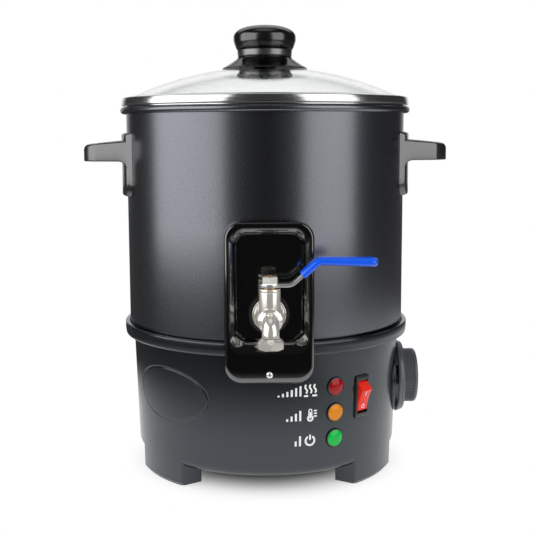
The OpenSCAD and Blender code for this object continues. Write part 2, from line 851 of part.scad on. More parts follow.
// Hexagonal end of the spout, with a corner to the front
module spout_nozzle() {
    af = nozzle_af;
    flare = 1.6;
    color(nickel) translate([0, -spout_dist, nozzle_z]) difference() {
        union() {
            intersection() {
                rotate([0, 0, 30]) hex_prism(af, nozzle_h);
                union() {
                    cylinder(d1 = af * 0.98, d2 = af * 1.16, h = 1.4);
                    translate([0, 0, 1.4]) cylinder(d = af * 1.16, h = nozzle_h);
                }
            }
            translate([0, 0, nozzle_h - eps]) cylinder(d1 = af * 0.96, d2 = spout_d + 1.6, h = flare);
        }
        translate([0, 0, -1]) cylinder(r = nozzle_bore_r, h = nozzle_h);
        translate([0, 0, nozzle_h + flare - nozzle_lap - 0.1]) cylinder(r = spout_d / 2 + fit, h = 10);
    }
}

// Centre line of the lever in its own plane, from x0 on: points [x, z, heading]
function lever_line() =
    let (up = lever_angle, r = lever_bend_r,
         run = (lever_rise - 2 * r * (1 - cos(up))) / sin(up),
         x1 = lever_bend_x + r * sin(up), z1 = r * (1 - cos(up)),
         x2 = x1 + run * cos(up), z2 = z1 + run * sin(up),
         down = up + 1.5)
    concat(
        [for (i = [0:8]) let (a = up * i / 8) [lever_bend_x + r * sin(a), r * (1 - cos(a)), a]],
        [for (t = [0.3, 0.7]) [x1 + run * t * cos(up), z1 + run * t * sin(up), up]],
        [for (i = [0:8]) let (a = up - down * i / 8)
            [x2 + r * (sin(up) - sin(a)), z2 + r * (cos(a) - cos(up)), a]]);

function lever_points() =
    let (line = lever_line(), last = line[len(line) - 1], rest = lever_l - last[0])
    concat([[0, 0, 0]], line,
        [for (t = [0.25, 0.5, 0.75, 1]) [last[0] + rest * t, last[1] + rest * t * tan(last[2]), last[2]]]);

// Outline of a strip of thickness t along some of those points
function strip(points, t) = concat(
    [for (p = points) [p[0] - t / 2 * sin(p[2]), p[1] + t / 2 * cos(p[2])]],
    [for (i = [len(points) - 1:-1:0]) let (p = points[i])
        [p[0] + t / 2 * sin(p[2]), p[1] - t / 2 * cos(p[2])]]);

module lever_strip(t, w, points) {
    translate([0, w / 2, 0]) rotate([90, 0, 0]) linear_extrude(w) polygon(strip(points, t));
}

module valve_lever() {
    hub_r = 7.4;
    inner = [for (p = lever_points()) if (p[0] < lever_l - 3) p];
    color(steel) translate([0, -stem_dist, lever_z + lever_t / 2]) difference() {
        union() {
            translate([0, 0, -lever_t / 2]) cylinder(r = hub_r, h = lever_t);
            lever_strip(lever_t, lever_w, inner);
        }
        translate([0, 0, -lever_t]) cylinder(r = stem_d / 2 - 0.5, h = 2 * lever_t);
    }
}

// Vinyl sleeve: an oval section swept along the lever and closed over its tip
module lever_sleeve() {
    sides = 16;
    pts = [for (p = lever_points()) if (p[0] > sleeve_from) p];
    n = len(pts);
    tip = pts[n - 1];
    rings = concat(
        [for (p = pts) [p, 1]],
        [for (a = [35, 60, 80]) [[tip[0] + 2.4 * sin(a), tip[1], tip[2]], 0.35 + 0.65 * cos(a)]]);
    function section(ring) =
        let (p = ring[0], k = ring[1], a = sleeve_w / 2 * k, b = (lever_t / 2 + sleeve_t) * k)
        [for (j = [0:sides - 1]) let (t = 360 * j / sides,
            u = a * sign(cos(t)) * pow(abs(cos(t)), 0.7), v = b * sign(sin(t)) * pow(abs(sin(t)), 0.7))
            [p[0] - v * sin(p[2]), u, p[1] + v * cos(p[2])]];
    m = len(rings);
    vertices = [for (r = rings) for (q = section(r)) q];
    faces = concat(
        [[for (j = [0:sides - 1]) j]],
        [for (i = [0:m - 2], j = [0:sides - 1]) let (k = (j + 1) % sides)
            [i * sides + j, (i + 1) * sides + j, (i + 1) * sides + k]],
        [for (i = [0:m - 2], j = [0:sides - 1]) let (k = (j + 1) % sides)
            [i * sides + j, (i + 1) * sides + k, i * sides + k]],
        [[for (j = [sides - 1:-1:0]) (m - 1) * sides + j]]);
    inner = [for (p = lever_points()) if (p[0] < lever_l - 3) p];
    color("#1648d8") translate([0, -stem_dist, lever_z + lever_t / 2]) difference() {
        polyhedron(vertices, faces, convexity = 6);
        lever_strip(lever_t + 2 * fit, lever_w + 2 * fit, inner);
    }
}

// ---------------------------------------------------------------- base housing

// Half section of the housing: rounded bottom edge, drafted wall, collar band,
// the ledge that carries the pot and the step that carries the bottom cover
module base_section() {
    top_in = base_r(base_h - 12) - base_wall;
    flat_r = ledge_r + ledge_flat;
    polygon(concat(
        [[cover_r, foot_h], [edge_c, foot_h]],
        arc([edge_c, edge_z], edge_r, -90, -draft, 8),
        [[base_top_r, band_low], [band_r - band_taper, band_low]],
        [[band_r, band_top - 1.2], [band_r - 0.5, band_top]],
        [[pot_r + slack, band_top], [pot_r + slack, base_h], [ledge_r, base_h]],
        [[ledge_r, base_h - ledge_t], [flat_r, base_h - ledge_t]],
        [[top_in, base_h - ledge_t - (top_in - flat_r)]],
        arc([edge_c, edge_z], edge_r - base_wall, -draft, -90, 6),
        [[cover_r + 3, foot_h + base_wall], [cover_r + 3, step_z + step_t]],
        [[step_r, step_z + step_t], [step_r, step_z], [cover_r, step_z]]));
}

// Plan of a foot at the front, shrunk by in: straight sides, an outer side that
// follows the wall, rounded outer corners, and an inner side round the cover
module foot_plan(in) {
    w = foot_w / 2 - in;
    r = foot_r - in;
    c = foot_corner;
    y = sqrt(pow(r - c, 2) - pow(w - c, 2));
    y_in = foot_r - 3 * foot_depth;
    q = y_in / y;
    difference() {
        union() {
            translate([-w, -y]) square([2 * w, y - y_in]);
            for (s = [-1, 1]) translate([s * (w - c), -y]) circle(c);
            intersection() {
                circle(r);
                polygon([[-(w - c) * q, -y_in], [(w - c) * q, -y_in],
                    [(w - c) * 1.1, -y * 1.1], [-(w - c) * 1.1, -y * 1.1]]);
            }
        }
        circle(foot_r - foot_depth + in);
    }
}

module feet() {
    intersection() {
        for (a = foot_angles) rotate([0, 0, a]) linear_extrude(edge_z) foot_plan(0);
        rotate_extrude() polygon([
            [60, pad_out], [base_r(pad_out) - 1.5, pad_out], [base_r(pad_out + 1.5), pad_out + 1.5],
            [base_r(edge_z), edge_z], [60, edge_z]]);
    }
}

// Fine oval outline sunk in the wall; the field inside it is bare
module oval_groove() {
    intersection() {
        on_wall(oval_angle, oval_z) translate([0, 0, -14]) linear_extrude(28) difference() {
            polygon([for (t = [0:5:355]) [oval_a * cos(t), oval_b * sin(t)]]);
            polygon([for (t = [0:5:355])
                [(oval_a - oval_line) * cos(t), (oval_b - oval_line) * sin(t)]]);
        }
        rotate_extrude() polygon([
            [base_r(foot_h) - oval_depth, foot_h], [base_r(foot_h) + 9, foot_h],
            [base_r(band_low) + 9, band_low], [base_r(band_low) - oval_depth, band_low]]);
    }
}

module base_housing() {
    color("#2c2d2f") difference() {
        union() {
            rotate_extrude() base_section();
            feet();
            on_knob() translate([0, 0, boss_in]) cylinder(r = boss_r, h = boss_x - boss_in);
            on_wall(180, inlet_z) translate([0, 0, -3.5]) linear_extrude(3.5 + inlet_pad)
                rounded(inlet_flange_w + 2, inlet_flange_h + 2, 4);
        }
        oval_groove();
        // lamps
        for (z = lamp_zs) on_wall(lamp_angle, z) {
            translate([0, 0, -spot_depth]) cylinder(r = lamp_rim_r + slack, h = 3);
            translate([0, 0, -10]) cylinder(r = barrel_r + fit, h = 12);
        }
        // rocker switch
        on_wall(switch_angle, switch_z) {
            translate([0, 0, -spot_depth]) linear_extrude(3) rounded(bezel_w + 0.4, bezel_h + 0.4, 2.2);
            translate([0, 0, -10]) linear_extrude(12) square([switch_w + 0.2, switch_h + 0.2], center = true);
        }
        // thermostat
        on_knob() {
            translate([0, 0, boss_x]) cylinder(r = boss_r, h = 12);
            translate([0, 0, boss_in - 5]) cylinder(r = bushing_r + fit, h = 20);
            for (y = [-1, 1]) translate([0, y * bracket_hole, boss_in - 1]) cylinder(r = 1.5, h = 4);
        }
        // power inlet
        on_wall(180, inlet_z) translate([0, 0, -10]) {
            linear_extrude(14) rounded(inlet_w + 0.2, inlet_h + 0.2, 2);
            for (x = [-1, 1]) translate([x * inlet_screw_x, 0, 0]) cylinder(r = 1.5, h = 14);
        }
        // screws of the panel and of the bottom cover, and the pads' pockets
        on_valve() translate([0, panel_screw_y, pot_r - 20]) cylinder(r = 1.5, h = 20);
        for (a = [0:90:270]) rotate([0, 0, a + 45])
            translate([cover_screw_r, 0, foot_h]) cylinder(r = 1.5, h = 10);
        for (a = foot_angles) rotate([0, 0, a]) translate([0, 0, -1])
            linear_extrude(pad_t + 1) foot_plan(pad_inset - 0.1);
    }
}

module foot_pads() {
    color(rubber) for (a = foot_angles) rotate([0, 0, a]) linear_extrude(pad_t) foot_plan(pad_inset);
}

// Round cover with three groups of vent slots
module bottom_cover() {
    slot_l = 34;
    slot_w = 4;
    color("#3b3c3e") translate([0, 0, step_z - cover_t]) difference() {
        cylinder(r = cover_r - 0.2, h = cover_t);
        for (a = [0:90:270]) rotate([0, 0, a + 45])
            translate([cover_screw_r, 0, -1]) cylinder(r = 1.7, h = cover_t + 2);
        for (a = [0:120:240], i = [-2:2]) rotate([0, 0, a]) translate([0, -42 + 8 * i, -1]) {
            translate([-slot_l / 2, -slot_w / 2, 0]) cube([slot_l, slot_w, cover_t + 2]);
            for (s = [-1, 1]) translate([s * slot_l / 2, 0, 0]) cylinder(d = slot_w, h = cover_t + 2);
        }
    }
}

module cover_screws() {
    color(steel) for (a = [0:90:270]) rotate([0, 0, a + 45])
        translate([cover_screw_r, 0, step_z - cover_t]) rotate([180, 0, 0])
            pan_screw(5.6, 1.8, 3, cover_t + step_t - 0.2);
}

// ---------------------------------------------------------------- heater

module heating_plate() {
    color("#b9bbbd") difference() {
        translate([0, 0, heater_z]) cylinder(r = plate_r, h = heater_t);
        translate([0, 0, heater_z - 1]) cylinder(r = stud_r + 0.5, h = heater_t + 2);
        translate([0, 0, heater_z]) rotate_extrude()
            translate([element_r, 0]) circle(r = element_d / 2 + fit);
    }
}

// Tubular element: an open loop in the plate's groove with two pins down
module heating_element() {
    gap = 24;
    r = element_d / 2;
    color("#7d7f82") {
        translate([0, 0, heater_z]) rotate([0, 0, gap / 2]) rotate_extrude(angle = 360 - gap)
            translate([element_r, 0]) circle(r = r);
        for (s = [-1, 1]) rotate([0, 0, s * (gap / 2 + 2.5)])
            translate([element_r, 0, heater_z - 18]) cylinder(r = 2, h = 18);
    }
}

pin_hole_r = 5;
dish_r = 88;

module heat_reflector() {
    color("#cfd1d3") difference() {
        rotate_extrude() polygon([
            [0, reflector_z - reflector_t], [dish_r, reflector_z - reflector_t],
            [dish_r + reflector_t, reflector_z - reflector_t + 1], [dish_r + reflector_t, reflector_z + 5],
            [dish_r, reflector_z + 5], [dish_r - 0.6, reflector_z], [0, reflector_z]]);
        translate([0, 0, reflector_z - 3]) {
            cylinder(r = stud_r + 0.5, h = 6);
            for (s = [-1, 1]) rotate([0, 0, s * 14.5])
                translate([element_r, 0, 0]) cylinder(r = pin_hole_r, h = 6);
            translate([bulb_x, bulb_l / 2, 0]) cylinder(r = 2.5, h = 6);
        }
    }
}

module clamp_spacer() {
    color(steel) translate([0, 0, reflector_z]) tube(8, stud_r + fit, spacer_h);
}

// Flat bar whose turned-up ends bear under the ledge; it pulls the pot down
module clamp_bridge() {
    reach = ledge_r + ledge_flat - 1;
    color(steel) rotate([0, 0, 30]) difference() {
        union() {
            translate([-reach, -bridge_w / 2, bridge_z]) cube([2 * reach, bridge_w, bridge_t]);
            for (s = [-1, 1]) translate([s * (reach - 1) - 1, -bridge_w / 2, bridge_z])
                cube([2, bridge_w, base_h - ledge_t - bridge_z]);
        }
        translate([0, 0, bridge_z - 1]) cylinder(r = stud_r + 0.5, h = bridge_t + 2);
    }
}

module clamp_nut() {
    color(steel) translate([0, 0, bridge_z - clamp_nut_h]) hex_nut(10, clamp_nut_h, 2 * (stud_r + fit));
}

// Round thermal cut-out on the reflector's underside, with two tabs
module thermal_cutout() {
    color("#d8d4c8") translate([-10, -45, reflector_z - reflector_t - 7]) {
        cylinder(r = 8, h = 7);
        for (s = [-1, 1]) translate([s * 5 - 0.4, -3, -7]) cube([0.8, 6, 8]);
    }
}

// ---------------------------------------------------------------- thermostat

boss_r = dial_r + 0.5;
bushing_r = 4.5;
bracket_hole = 19.5;
can_l = 20;
body_z = boss_in - 2 - can_l;
can_r = 16;
collar_pos = boss_in - 9;
shaft_end = grip_x + grip_h - 4;

// Can of the thermostat with its bushing, bored for the shaft
module thermostat_body() {
    color("#8f9194") on_knob() difference() {
        union() {
            translate([0, 0, body_z]) cylinder(r = can_r, h = can_l);
            translate([0, 0, boss_in - 2 - eps]) cylinder(r = bushing_r, h = boss_x - boss_in + 1.6);
            for (s = [-1, 1]) translate([s * 7 - 3, -11, body_z - 8]) cube([6, 0.8, 9]);
        }
        translate([0, 0, collar_pos - 6]) cylinder(r = shaft_d / 2 + fit, h = 40);
        translate([0, 0, collar_pos - slack]) cylinder(r = shaft_d / 2 + 2 + slack, h = 2 + 2 * slack);
    }
}

module thermostat_bracket() {
    color(steel) on_knob() {
        translate([0, 0, boss_in - 2]) linear_extrude(2) difference() {
            rounded(22, 2 * bracket_hole + 10, 5);
            circle(r = bushing_r + fit);
            for (y = [-1, 1]) translate([0, y * bracket_hole]) circle(r = 1.4);
        }
        for (y = [-1, 1]) translate([0, y * bracket_hole, boss_in - 2])
            rotate([180, 0, 0]) pan_screw(5.6, 1.8, 3, 4.6);
    }
}

module shaft_flat(r, flat) {
    difference() {
        circle(r = r);
        translate([-r, flat]) square([2 * r, r]);
    }
}

module thermostat_shaft() {
    r = shaft_d / 2;
    color(steel) on_knob() {
        translate([0, 0, collar_pos - 5]) cylinder(r = r, h = dial_x + 3 - collar_pos + 5);
        translate([0, 0, collar_pos]) cylinder(r = r + 2, h = 2);
        translate([0, 0, dial_x + 3 - eps]) linear_extrude(shaft_end - dial_x - 3) shaft_flat(r, r - 0.8);
    }
}

// Knob: broad flat skirt, ribbed grip with a rounded face, hollow back and hub
module thermostat_knob() {
    rib_h = 0.7;
    step = 360 / grip_ribs;
    plain = 2.6;
    color("#141415") on_knob() difference() {
        union() {
            rotate_extrude() polygon([
                [0, dial_x], [dial_r - 0.5, dial_x], [dial_r, dial_x + 0.5],
                [dial_r - 0.5, grip_x - 1.2], [dial_r - 1.4, grip_x - 0.4], [dial_r - 3, grip_x],
                [0, grip_x]]);
            translate([0, 0, grip_x - eps]) linear_extrude(grip_h - plain)
                polygon([for (i = [0:grip_ribs - 1], k = [0:3])
                    let (a = step * (i + [0, 0.25, 0.5, 0.75][k]), r = grip_r - (k < 2 ? 0 : rib_h))
                    [r * cos(a), r * sin(a)]]);
            rotate_extrude() polygon(concat(
                [[0, face_x - plain - eps], [grip_r - rib_h, face_x - plain - eps]],
                arc([grip_r - rib_h - 2.4, face_x - 2.4], 2.4, 0, 90, 6), [[0, face_x]]));
        }
        translate([0, 0, dial_x - 1]) tube(dial_r - 3, 8, 4);
        translate([0, 0, dial_x - 1]) cylinder(r = shaft_d / 2 + fit, h = 4 + eps);
        translate([0, 0, dial_x + 3]) linear_extrude(shaft_end - dial_x - 3 + 0.3)
            shaft_flat(shaft_d / 2 + fit, shaft_d / 2 - 0.8 + fit);
        translate([-0.6, 4, face_x - 0.5]) cube([1.2, grip_r - 8, 2]);
    }
}

bulb_x = 72;
bulb_l = 50;

module rod(p, q, r) {
    v = q - p;
    translate(p) rotate([0, acos(v[2] / norm(v)), atan2(v[1], v[0])]) cylinder(r = r, h = norm(v));
}

// Sensing bulb under the heating plate and its capillary down to the thermostat
module thermostat_bulb() {
    r = 2.4;
    c = 1;
    z = heater_z - r;
    low = knob_z + 8;
    path = [[bulb_x, bulb_l / 2, z], [bulb_x, bulb_l / 2, low], [bulb_x, 9, low], [body_z, 9, low]];
    color("#b87342") {
        translate([bulb_x, bulb_l / 2, z]) rotate([90, 0, 0]) cylinder(r = r, h = bulb_l);
        for (i = [0:2]) rod(path[i], path[i + 1], c);
        for (i = [1:2]) translate(path[i]) sphere(r = c);
    }
}

// ---------------------------------------------------------------- rocker switch

rocker_gap = 0.3;
cavity_l = rocker_end + rocker_gap;
switch_depth = 18;

// Bezel and box of the switch, open to the front, with holes for the pivot
module switch_housing() {
    color(black) on_wall(switch_angle, switch_z) difference() {
        union() {
            translate([0, 0, -spot_depth]) linear_extrude(bezel_t - 0.7) rounded(bezel_w, bezel_h, 2);
            translate([0, 0, -spot_depth + bezel_t - 0.7 - eps]) linear_extrude(0.7)
                rounded(bezel_w - 1.2, bezel_h - 1.2, 1.6);
            translate([0, 0, -switch_depth]) linear_extrude(switch_depth)
                square([switch_w, switch_h], center = true);
            for (y = [-8, 0, 8]) translate([-3, y - 0.4, -switch_depth - 7]) cube([6, 0.8, 8]);
        }
        translate([-rocker_w / 2 - rocker_gap, -cavity_l, -13])
            cube([rocker_w + 2 * rocker_gap, 2 * cavity_l, 20]);
        translate([-20, 0, -pivot_depth]) rotate([0, 90, 0]) cylinder(r = pivot_r + fit, h = 40);
    }
}

// Side outline of the rocker about its pivot: concave face, sloped ends, arc ends
module rocker_outline() {
    f = rocker_face;
    h = rocker_rise;
    dip = 0.9;
    polygon(concat(
        arc([0, 0], rocker_end, -18, 12, 6),
        [[f + 0.5, h - 0.6], [f - 0.1, h]],
        [for (i = [1:9]) let (x = f - 0.1 - 2 * (f - 0.1) * i / 10)
            [x, h - dip * (1 - pow(x / f, 2))]],
        [[-f + 0.1, h], [-f - 0.5, h - 0.6]],
        arc([0, 0], rocker_end, 168, 198, 6)));
}

module switch_rocker() {
    pin = switch_w / 2 - 0.1;
    color("#c8221c", 0.8) on_wall(switch_angle, switch_z) translate([0, 0, -pivot_depth])
        rotate([rocker_tilt, 0, 0]) {
            translate([-rocker_w / 2, 0, 0]) rotate([90, 0, 90]) linear_extrude(rocker_w) rocker_outline();
            translate([-pin, 0, 0]) rotate([0, 90, 0]) cylinder(r = pivot_r, h = 2 * pin);
        }
}

// ---------------------------------------------------------------- lamps

lens_base = 0.2;
lens_rise = 2.5;
plug_r = 3.5;
clip_r = 8;
clip_z = base_wall + clip_r * clip_r / (2 * (base_top_r - base_wall - 4)) + 0.1;

module lamp_bodies() {
    color(black) for (z = lamp_zs) on_wall(lamp_angle, z) difference() {
        union() {
            translate([0, 0, -spot_depth]) cylinder(r = lamp_rim_r, h = spot_depth + 0.9);
            translate([0, 0, -16]) cylinder(r = barrel_r, h = 16);
            for (x = [-2.4, 2.4]) translate([x - 0.3, -1.5, -22]) cube([0.6, 3, 7]);
        }
        translate([0, 0, lens_base]) cylinder(d = lens_d + 0.05, h = 5);
        translate([0, 0, -7]) cylinder(r = plug_r + fit, h = 12);
    }
}

module lamp_clips() {
    color("#77797c") for (z = lamp_zs) on_wall(lamp_angle, z)
        translate([0, 0, -clip_z - 3]) tube(clip_r, barrel_r + fit, 3);
}

// Domed lens with a plug into the lamp's barrel
module lamp_lens(z) {
    rise = lens_rise - 0.9;
    r = lens_d / 2;
    cap = (r * r + rise * rise) / (2 * rise);
    on_wall(lamp_angle, z) {
        translate([0, 0, lens_base]) cylinder(r = r, h = 0.9 - lens_base);
        intersection() {
            translate([0, 0, 0.9 + rise - cap]) sphere(r = cap);
            translate([0, 0, 0.9 - eps]) cylinder(r = r, h = 5);
        }
        translate([0, 0, -6]) cylinder(r = plug_r, h = 7);
    }
}

module lamp_red() {
    color("#d02018") lamp_lens(lamp_zs[0]);
}

module lamp_amber() {
    color("#e08a10") lamp_lens(lamp_zs[1]);
}

module lamp_green() {
    color("#1fae3a") lamp_lens(lamp_zs[2]);
}

// ---------------------------------------------------------------- wiring parts

// Screw terminal block that stands on the bottom cover
block_l = 60;
block_w = 18;
module terminal_block() {
    color("#e4e0d4") translate([0, 0, step_z]) difference() {
        union() {
            translate([-block_l / 2, -block_w / 2, 0]) cube([block_l, block_w, 8]);
            for (i = [-2:2]) translate([i * block_l / 5 - 4.5, -block_w / 2, 8 - eps]) cube([9, block_w, 7]);
        }
        for (i = [-2:2]) {
            translate([i * block_l / 5, 10, 10]) rotate([90, 0, 0]) cylinder(r = 2.2, h = 20);
            for (y = [-block_w / 4, block_w / 4]) translate([i * block_l / 5, y, 9]) cylinder(r = 2, h = 10);
        }
    }
}

inlet_flange_w = 48;
inlet_flange_h = 26;
inlet_screw_x = 20;
blade_xs = [-7, 0, 7];
blade_ys = [-2, 2.5, -2];

module inlet_housing() {
    wall = 2.2;
    color(black) on_wall(180, inlet_z) translate([0, 0, inlet_pad]) difference() {
        union() {
            linear_extrude(inlet_flange) rounded(inlet_flange_w, inlet_flange_h, 4);
            translate([0, 0, -inlet_depth]) linear_extrude(inlet_depth + eps) rounded(inlet_w, inlet_h, 2);
        }
        translate([0, 0, inlet_flange - 15]) linear_extrude(20)
            rounded(inlet_w - 2 * wall, inlet_h - 2 * wall, 2);
        for (i = [0:2]) translate([blade_xs[i] - 1, blade_ys[i] - 2, -inlet_depth - 1]) cube([2, 4, 20]);
        for (x = [-1, 1]) translate([x * inlet_screw_x, 0, -1]) cylinder(r = 1.7, h = 9);
    }
}

module inlet_pins() {
    color("#d8c27a") on_wall(180, inlet_z) translate([0, 0, inlet_pad]) for (i = [0:2])
        translate([blade_xs[i] - 1, blade_ys[i] - 2, -inlet_depth - 6]) cube([2, 4, inlet_depth + 4]);
}

module inlet_screws() {
    color(steel) on_wall(180, inlet_z) for (x = [-1, 1])
        translate([x * inlet_screw_x, 0, inlet_pad + inlet_flange]) pan_screw(6, 2, 3, 6.5);
}

// ---------------------------------------------------------------- output

pot();
centre_stud();
handle_left();
handle_right();
handle_screws();
lid_glass();
lid_ring();
knob_skirt();
knob_collar();
knob_cap();
knob_insert();
knob_washer();
knob_screw();
faucet_panel();
panel_screw();
valve_washer();
valve_flange();
valve_body();
inner_washer();
lock_nut();
valve_spout();
spout_nozzle();
ball_seats();
valve_ball();
valve_stem();
stem_packing();
gland_nut();
lever_nut();
valve_lever();
lever_sleeve();
base_housing();
bottom_cover();
cover_screws();
foot_pads();
heating_plate();
heating_element();
heat_reflector();
clamp_spacer();
clamp_bridge();
clamp_nut();
thermal_cutout();
thermostat_body();
thermostat_bracket();
thermostat_shaft();
thermostat_knob();
thermostat_bulb();
switch_housing();
switch_rocker();
lamp_bodies();
lamp_clips();
lamp_red();
lamp_amber();
lamp_green();
terminal_block();
inlet_housing();
inlet_pins();
inlet_screws();
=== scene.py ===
import json
import math

import bmesh
import bpy
from mathutils import Matrix, Vector


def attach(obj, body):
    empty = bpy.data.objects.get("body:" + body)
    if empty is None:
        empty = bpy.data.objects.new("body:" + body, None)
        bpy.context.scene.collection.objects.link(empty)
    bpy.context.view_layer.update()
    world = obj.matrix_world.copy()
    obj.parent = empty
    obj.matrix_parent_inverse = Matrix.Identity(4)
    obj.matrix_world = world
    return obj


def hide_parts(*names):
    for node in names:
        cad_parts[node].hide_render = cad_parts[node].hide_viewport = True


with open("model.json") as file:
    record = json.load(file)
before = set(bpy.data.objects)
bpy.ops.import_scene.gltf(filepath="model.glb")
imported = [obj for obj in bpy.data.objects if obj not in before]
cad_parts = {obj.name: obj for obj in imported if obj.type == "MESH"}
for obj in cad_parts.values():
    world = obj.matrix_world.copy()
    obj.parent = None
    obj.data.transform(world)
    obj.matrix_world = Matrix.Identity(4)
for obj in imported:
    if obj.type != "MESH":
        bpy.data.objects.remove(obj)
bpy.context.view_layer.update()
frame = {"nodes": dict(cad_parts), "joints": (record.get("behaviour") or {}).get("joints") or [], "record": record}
nodes = frame["nodes"]
MM = 0.001


def into_scene(name, data):
    """New object that shows this mesh, lamp or camera."""
    made = bpy.data.objects.new(name, data)
    bpy.context.scene.collection.objects.link(made)
    return made


# ------------------------ camera

EYE = (-17.6 * MM, -839.8 * MM, 272.5 * MM)
TURN = math.radians(-1.2)       # the camera looks slightly to +X,
TILT = math.radians(7.618)      # slightly down,
ROLL = math.radians(-0.25)      # and leans a little
LENS, SENSOR = 68.9, 36
SHIFT = 0.0017                  # in widths of the frame

camera = into_scene("camera", bpy.data.cameras.new("camera"))
bpy.context.scene.camera = camera
camera.data.sensor_width = SENSOR
camera.data.lens = LENS
camera.data.shift_x = SHIFT
camera.data.clip_start = 0.05   # metres
camera.data.clip_end = 20
camera.matrix_world = (Matrix.Translation(EYE) @ Matrix.Rotation(TURN, 4, "Z")
                       @ Matrix.Rotation(math.pi / 2 - TILT, 4, "X")
                       @ Matrix.Rotation(ROLL, 4, "Z"))

# ------------------------ node trees

WHITE = (1, 1, 1, 1)


def add(tree, kind, inputs=None, **settings):
    """Adds a node with its settings; an input is a socket to link or a value."""
    made = tree.nodes.new(kind)
    for key, value in settings.items():
        setattr(made, key, value)
    for key, value in (inputs or {}).items():
        if isinstance(value, bpy.types.NodeSocket):
            tree.links.new(value, made.inputs[key])
        else:
            made.inputs[key].default_value = value
    return made


def blend(tree, value, start, end, low, high, curve="SMOOTHSTEP"):
    """Low where value is at start, high where it is at end, and a slope between."""
    return add(tree, "ShaderNodeMapRange", {0: value, 1: start, 2: end, 3: low, 4: high},
               interpolation_type=curve).outputs[0]


def reckon(tree, operation, *values):
    """Result of a Math node."""
    return add(tree, "ShaderNodeMath", dict(enumerate(values)),
               operation=operation).outputs[0]


def mix(tree, factor, a, b):
    """Value a where the factor is 0 and b where it is 1."""
    return add(tree, "ShaderNodeMix", {"Factor": factor, "A": a, "B": b}).outputs[0]


def mix_shaders(tree, factor, a, b):
    """Shader a where the factor is 0 and b where it is 1."""
    return add(tree, "ShaderNodeMixShader", {0: factor, 1: a, 2: b}).outputs[0]


def linear(code):
    """Linear colour of an sRGB hex code."""
    parts = [int(code[i:i + 2], 16) / 255 for i in (1, 3, 5)]
    return [c / 12.92 if c <= 0.04045 else ((c + 0.055) / 1.055) ** 2.4
            for c in parts] + [1.0]


# ------------------------ studio

bpy.context.scene.view_settings.view_transform = "Standard"


def studio_world():
    """White for the camera; in reflections white behind and above, dark in front.

    A direction's Y runs to the back and its Z up, each from -1 to 1."""
    world = bpy.data.worlds.new("studio")
    bpy.context.scene.world = world
    world.use_nodes = True
    tree = world.node_tree
    tree.nodes.clear()
    way = add(tree, "ShaderNodeSeparateXYZ",
              {0: add(tree, "ShaderNodeTexCoord").outputs["Generated"]}).outputs
    wall = blend(tree, way["Y"], 0.84, 0.94, 0.035, 0.9)
    card = reckon(tree, "MULTIPLY", blend(tree, way["Z"], 0.4, 0.6, 0.0, 0.9),
                  blend(tree, way["Y"], 0.48, 0.62, 0.0, 1.0, "LINEAR"))
    ceiling = blend(tree, way["Z"], 0.9, 0.98, 0.0, 0.5)
    mirrored = reckon(tree, "MAXIMUM", reckon(tree, "MAXIMUM", wall, card), ceiling)
    ray = add(tree, "ShaderNodeLightPath").outputs
    unseen = mix(tree, ray["Is Diffuse Ray"], mirrored, 0.55)
    direct = reckon(tree, "MAXIMUM", ray["Is Camera Ray"], ray["Is Transmission Ray"])
    strength = mix(tree, direct, unseen, 1.0)
    # The glass dims what is behind it, so the world is a fifth brighter through glass
    lifted = reckon(tree, "MULTIPLY_ADD", ray["Is Transmission Ray"], 0.2, strength)
    light = add(tree, "ShaderNodeBackground", {"Color": WHITE, "Strength": lifted})
    add(tree, "ShaderNodeOutputWorld", {"Surface": light.outputs[0]})


def floor_paper():
    """White paper that keeps the contact shadow. In reflections it is bright close to
    the object and on the right, and darker far out on the left. Clear from below.

    Distances from the object's axis are metres."""
    material = bpy.data.materials.new("floor_paper")
    material.use_nodes = True
    tree = material.node_tree
    tree.nodes.clear()
    ray = add(tree, "ShaderNodeLightPath").outputs
    place = add(tree, "ShaderNodeTexCoord").outputs["Object"]
    across = add(tree, "ShaderNodeSeparateXYZ", {0: place}).outputs["X"]
    far = add(tree, "ShaderNodeVectorMath", {0: place}, operation="LENGTH").outputs["Value"]
    outside = blend(tree, far, 0.055, 0.122, 0.0, 1.0)

    # What mirrors see
    right = reckon(tree, "MULTIPLY", blend(tree, across, 0.1, 0.4, 0.0, 0.85),
                   blend(tree, far, 0.42, 0.78, 1.0, 0.1))
    left = blend(tree, across, -0.1, -0.45, 0.02, 0.07)
    sides = reckon(tree, "MAXIMUM", left, right)
    close = blend(tree, far, 0.2, 0.42, 1.0, 0.0)
    mirrored = add(tree, "ShaderNodeEmission",
                   {"Color": WHITE, "Strength": mix(tree, close, sides, 1.0)}).outputs[0]

    # What the camera sees: glowing white, and lit paper with its shadow under the object
    paper = add(tree, "ShaderNodeBsdfDiffuse", {"Color": (0.8, 0.8, 0.8, 1)}).outputs[0]
    glow = add(tree, "ShaderNodeEmission", {"Color": WHITE, "Strength": 1.0}).outputs[0]
    direct = reckon(tree, "MAXIMUM", ray["Is Camera Ray"], ray["Is Transmission Ray"])
    seen = mix_shaders(tree, reckon(tree, "MULTIPLY", direct, outside), paper, glow)

    top = mix_shaders(tree, reckon(tree, "MULTIPLY", ray["Is Glossy Ray"], outside),
                      seen, mirrored)
    from_below = add(tree, "ShaderNodeNewGeometry").outputs["Backfacing"]
    clear = add(tree, "ShaderNodeBsdfTransparent").outputs[0]
    add(tree, "ShaderNodeOutputMaterial",
        {"Surface": mix_shaders(tree, from_below, top, clear)})
    return material


def studio_floor():
    """Sheet of paper a hair below the feet."""
    half = 4    # metres
    mesh = bpy.data.meshes.new("floor")
    mesh.from_pydata([(-half, -half, 0), (half, -half, 0), (half, half, 0), (-half, half, 0)],
                     [], [(0, 1, 2, 3)])
    mesh.materials.append(floor_paper())
    floor = into_scene("floor", mesh)
    floor.location.z = -0.2 * MM


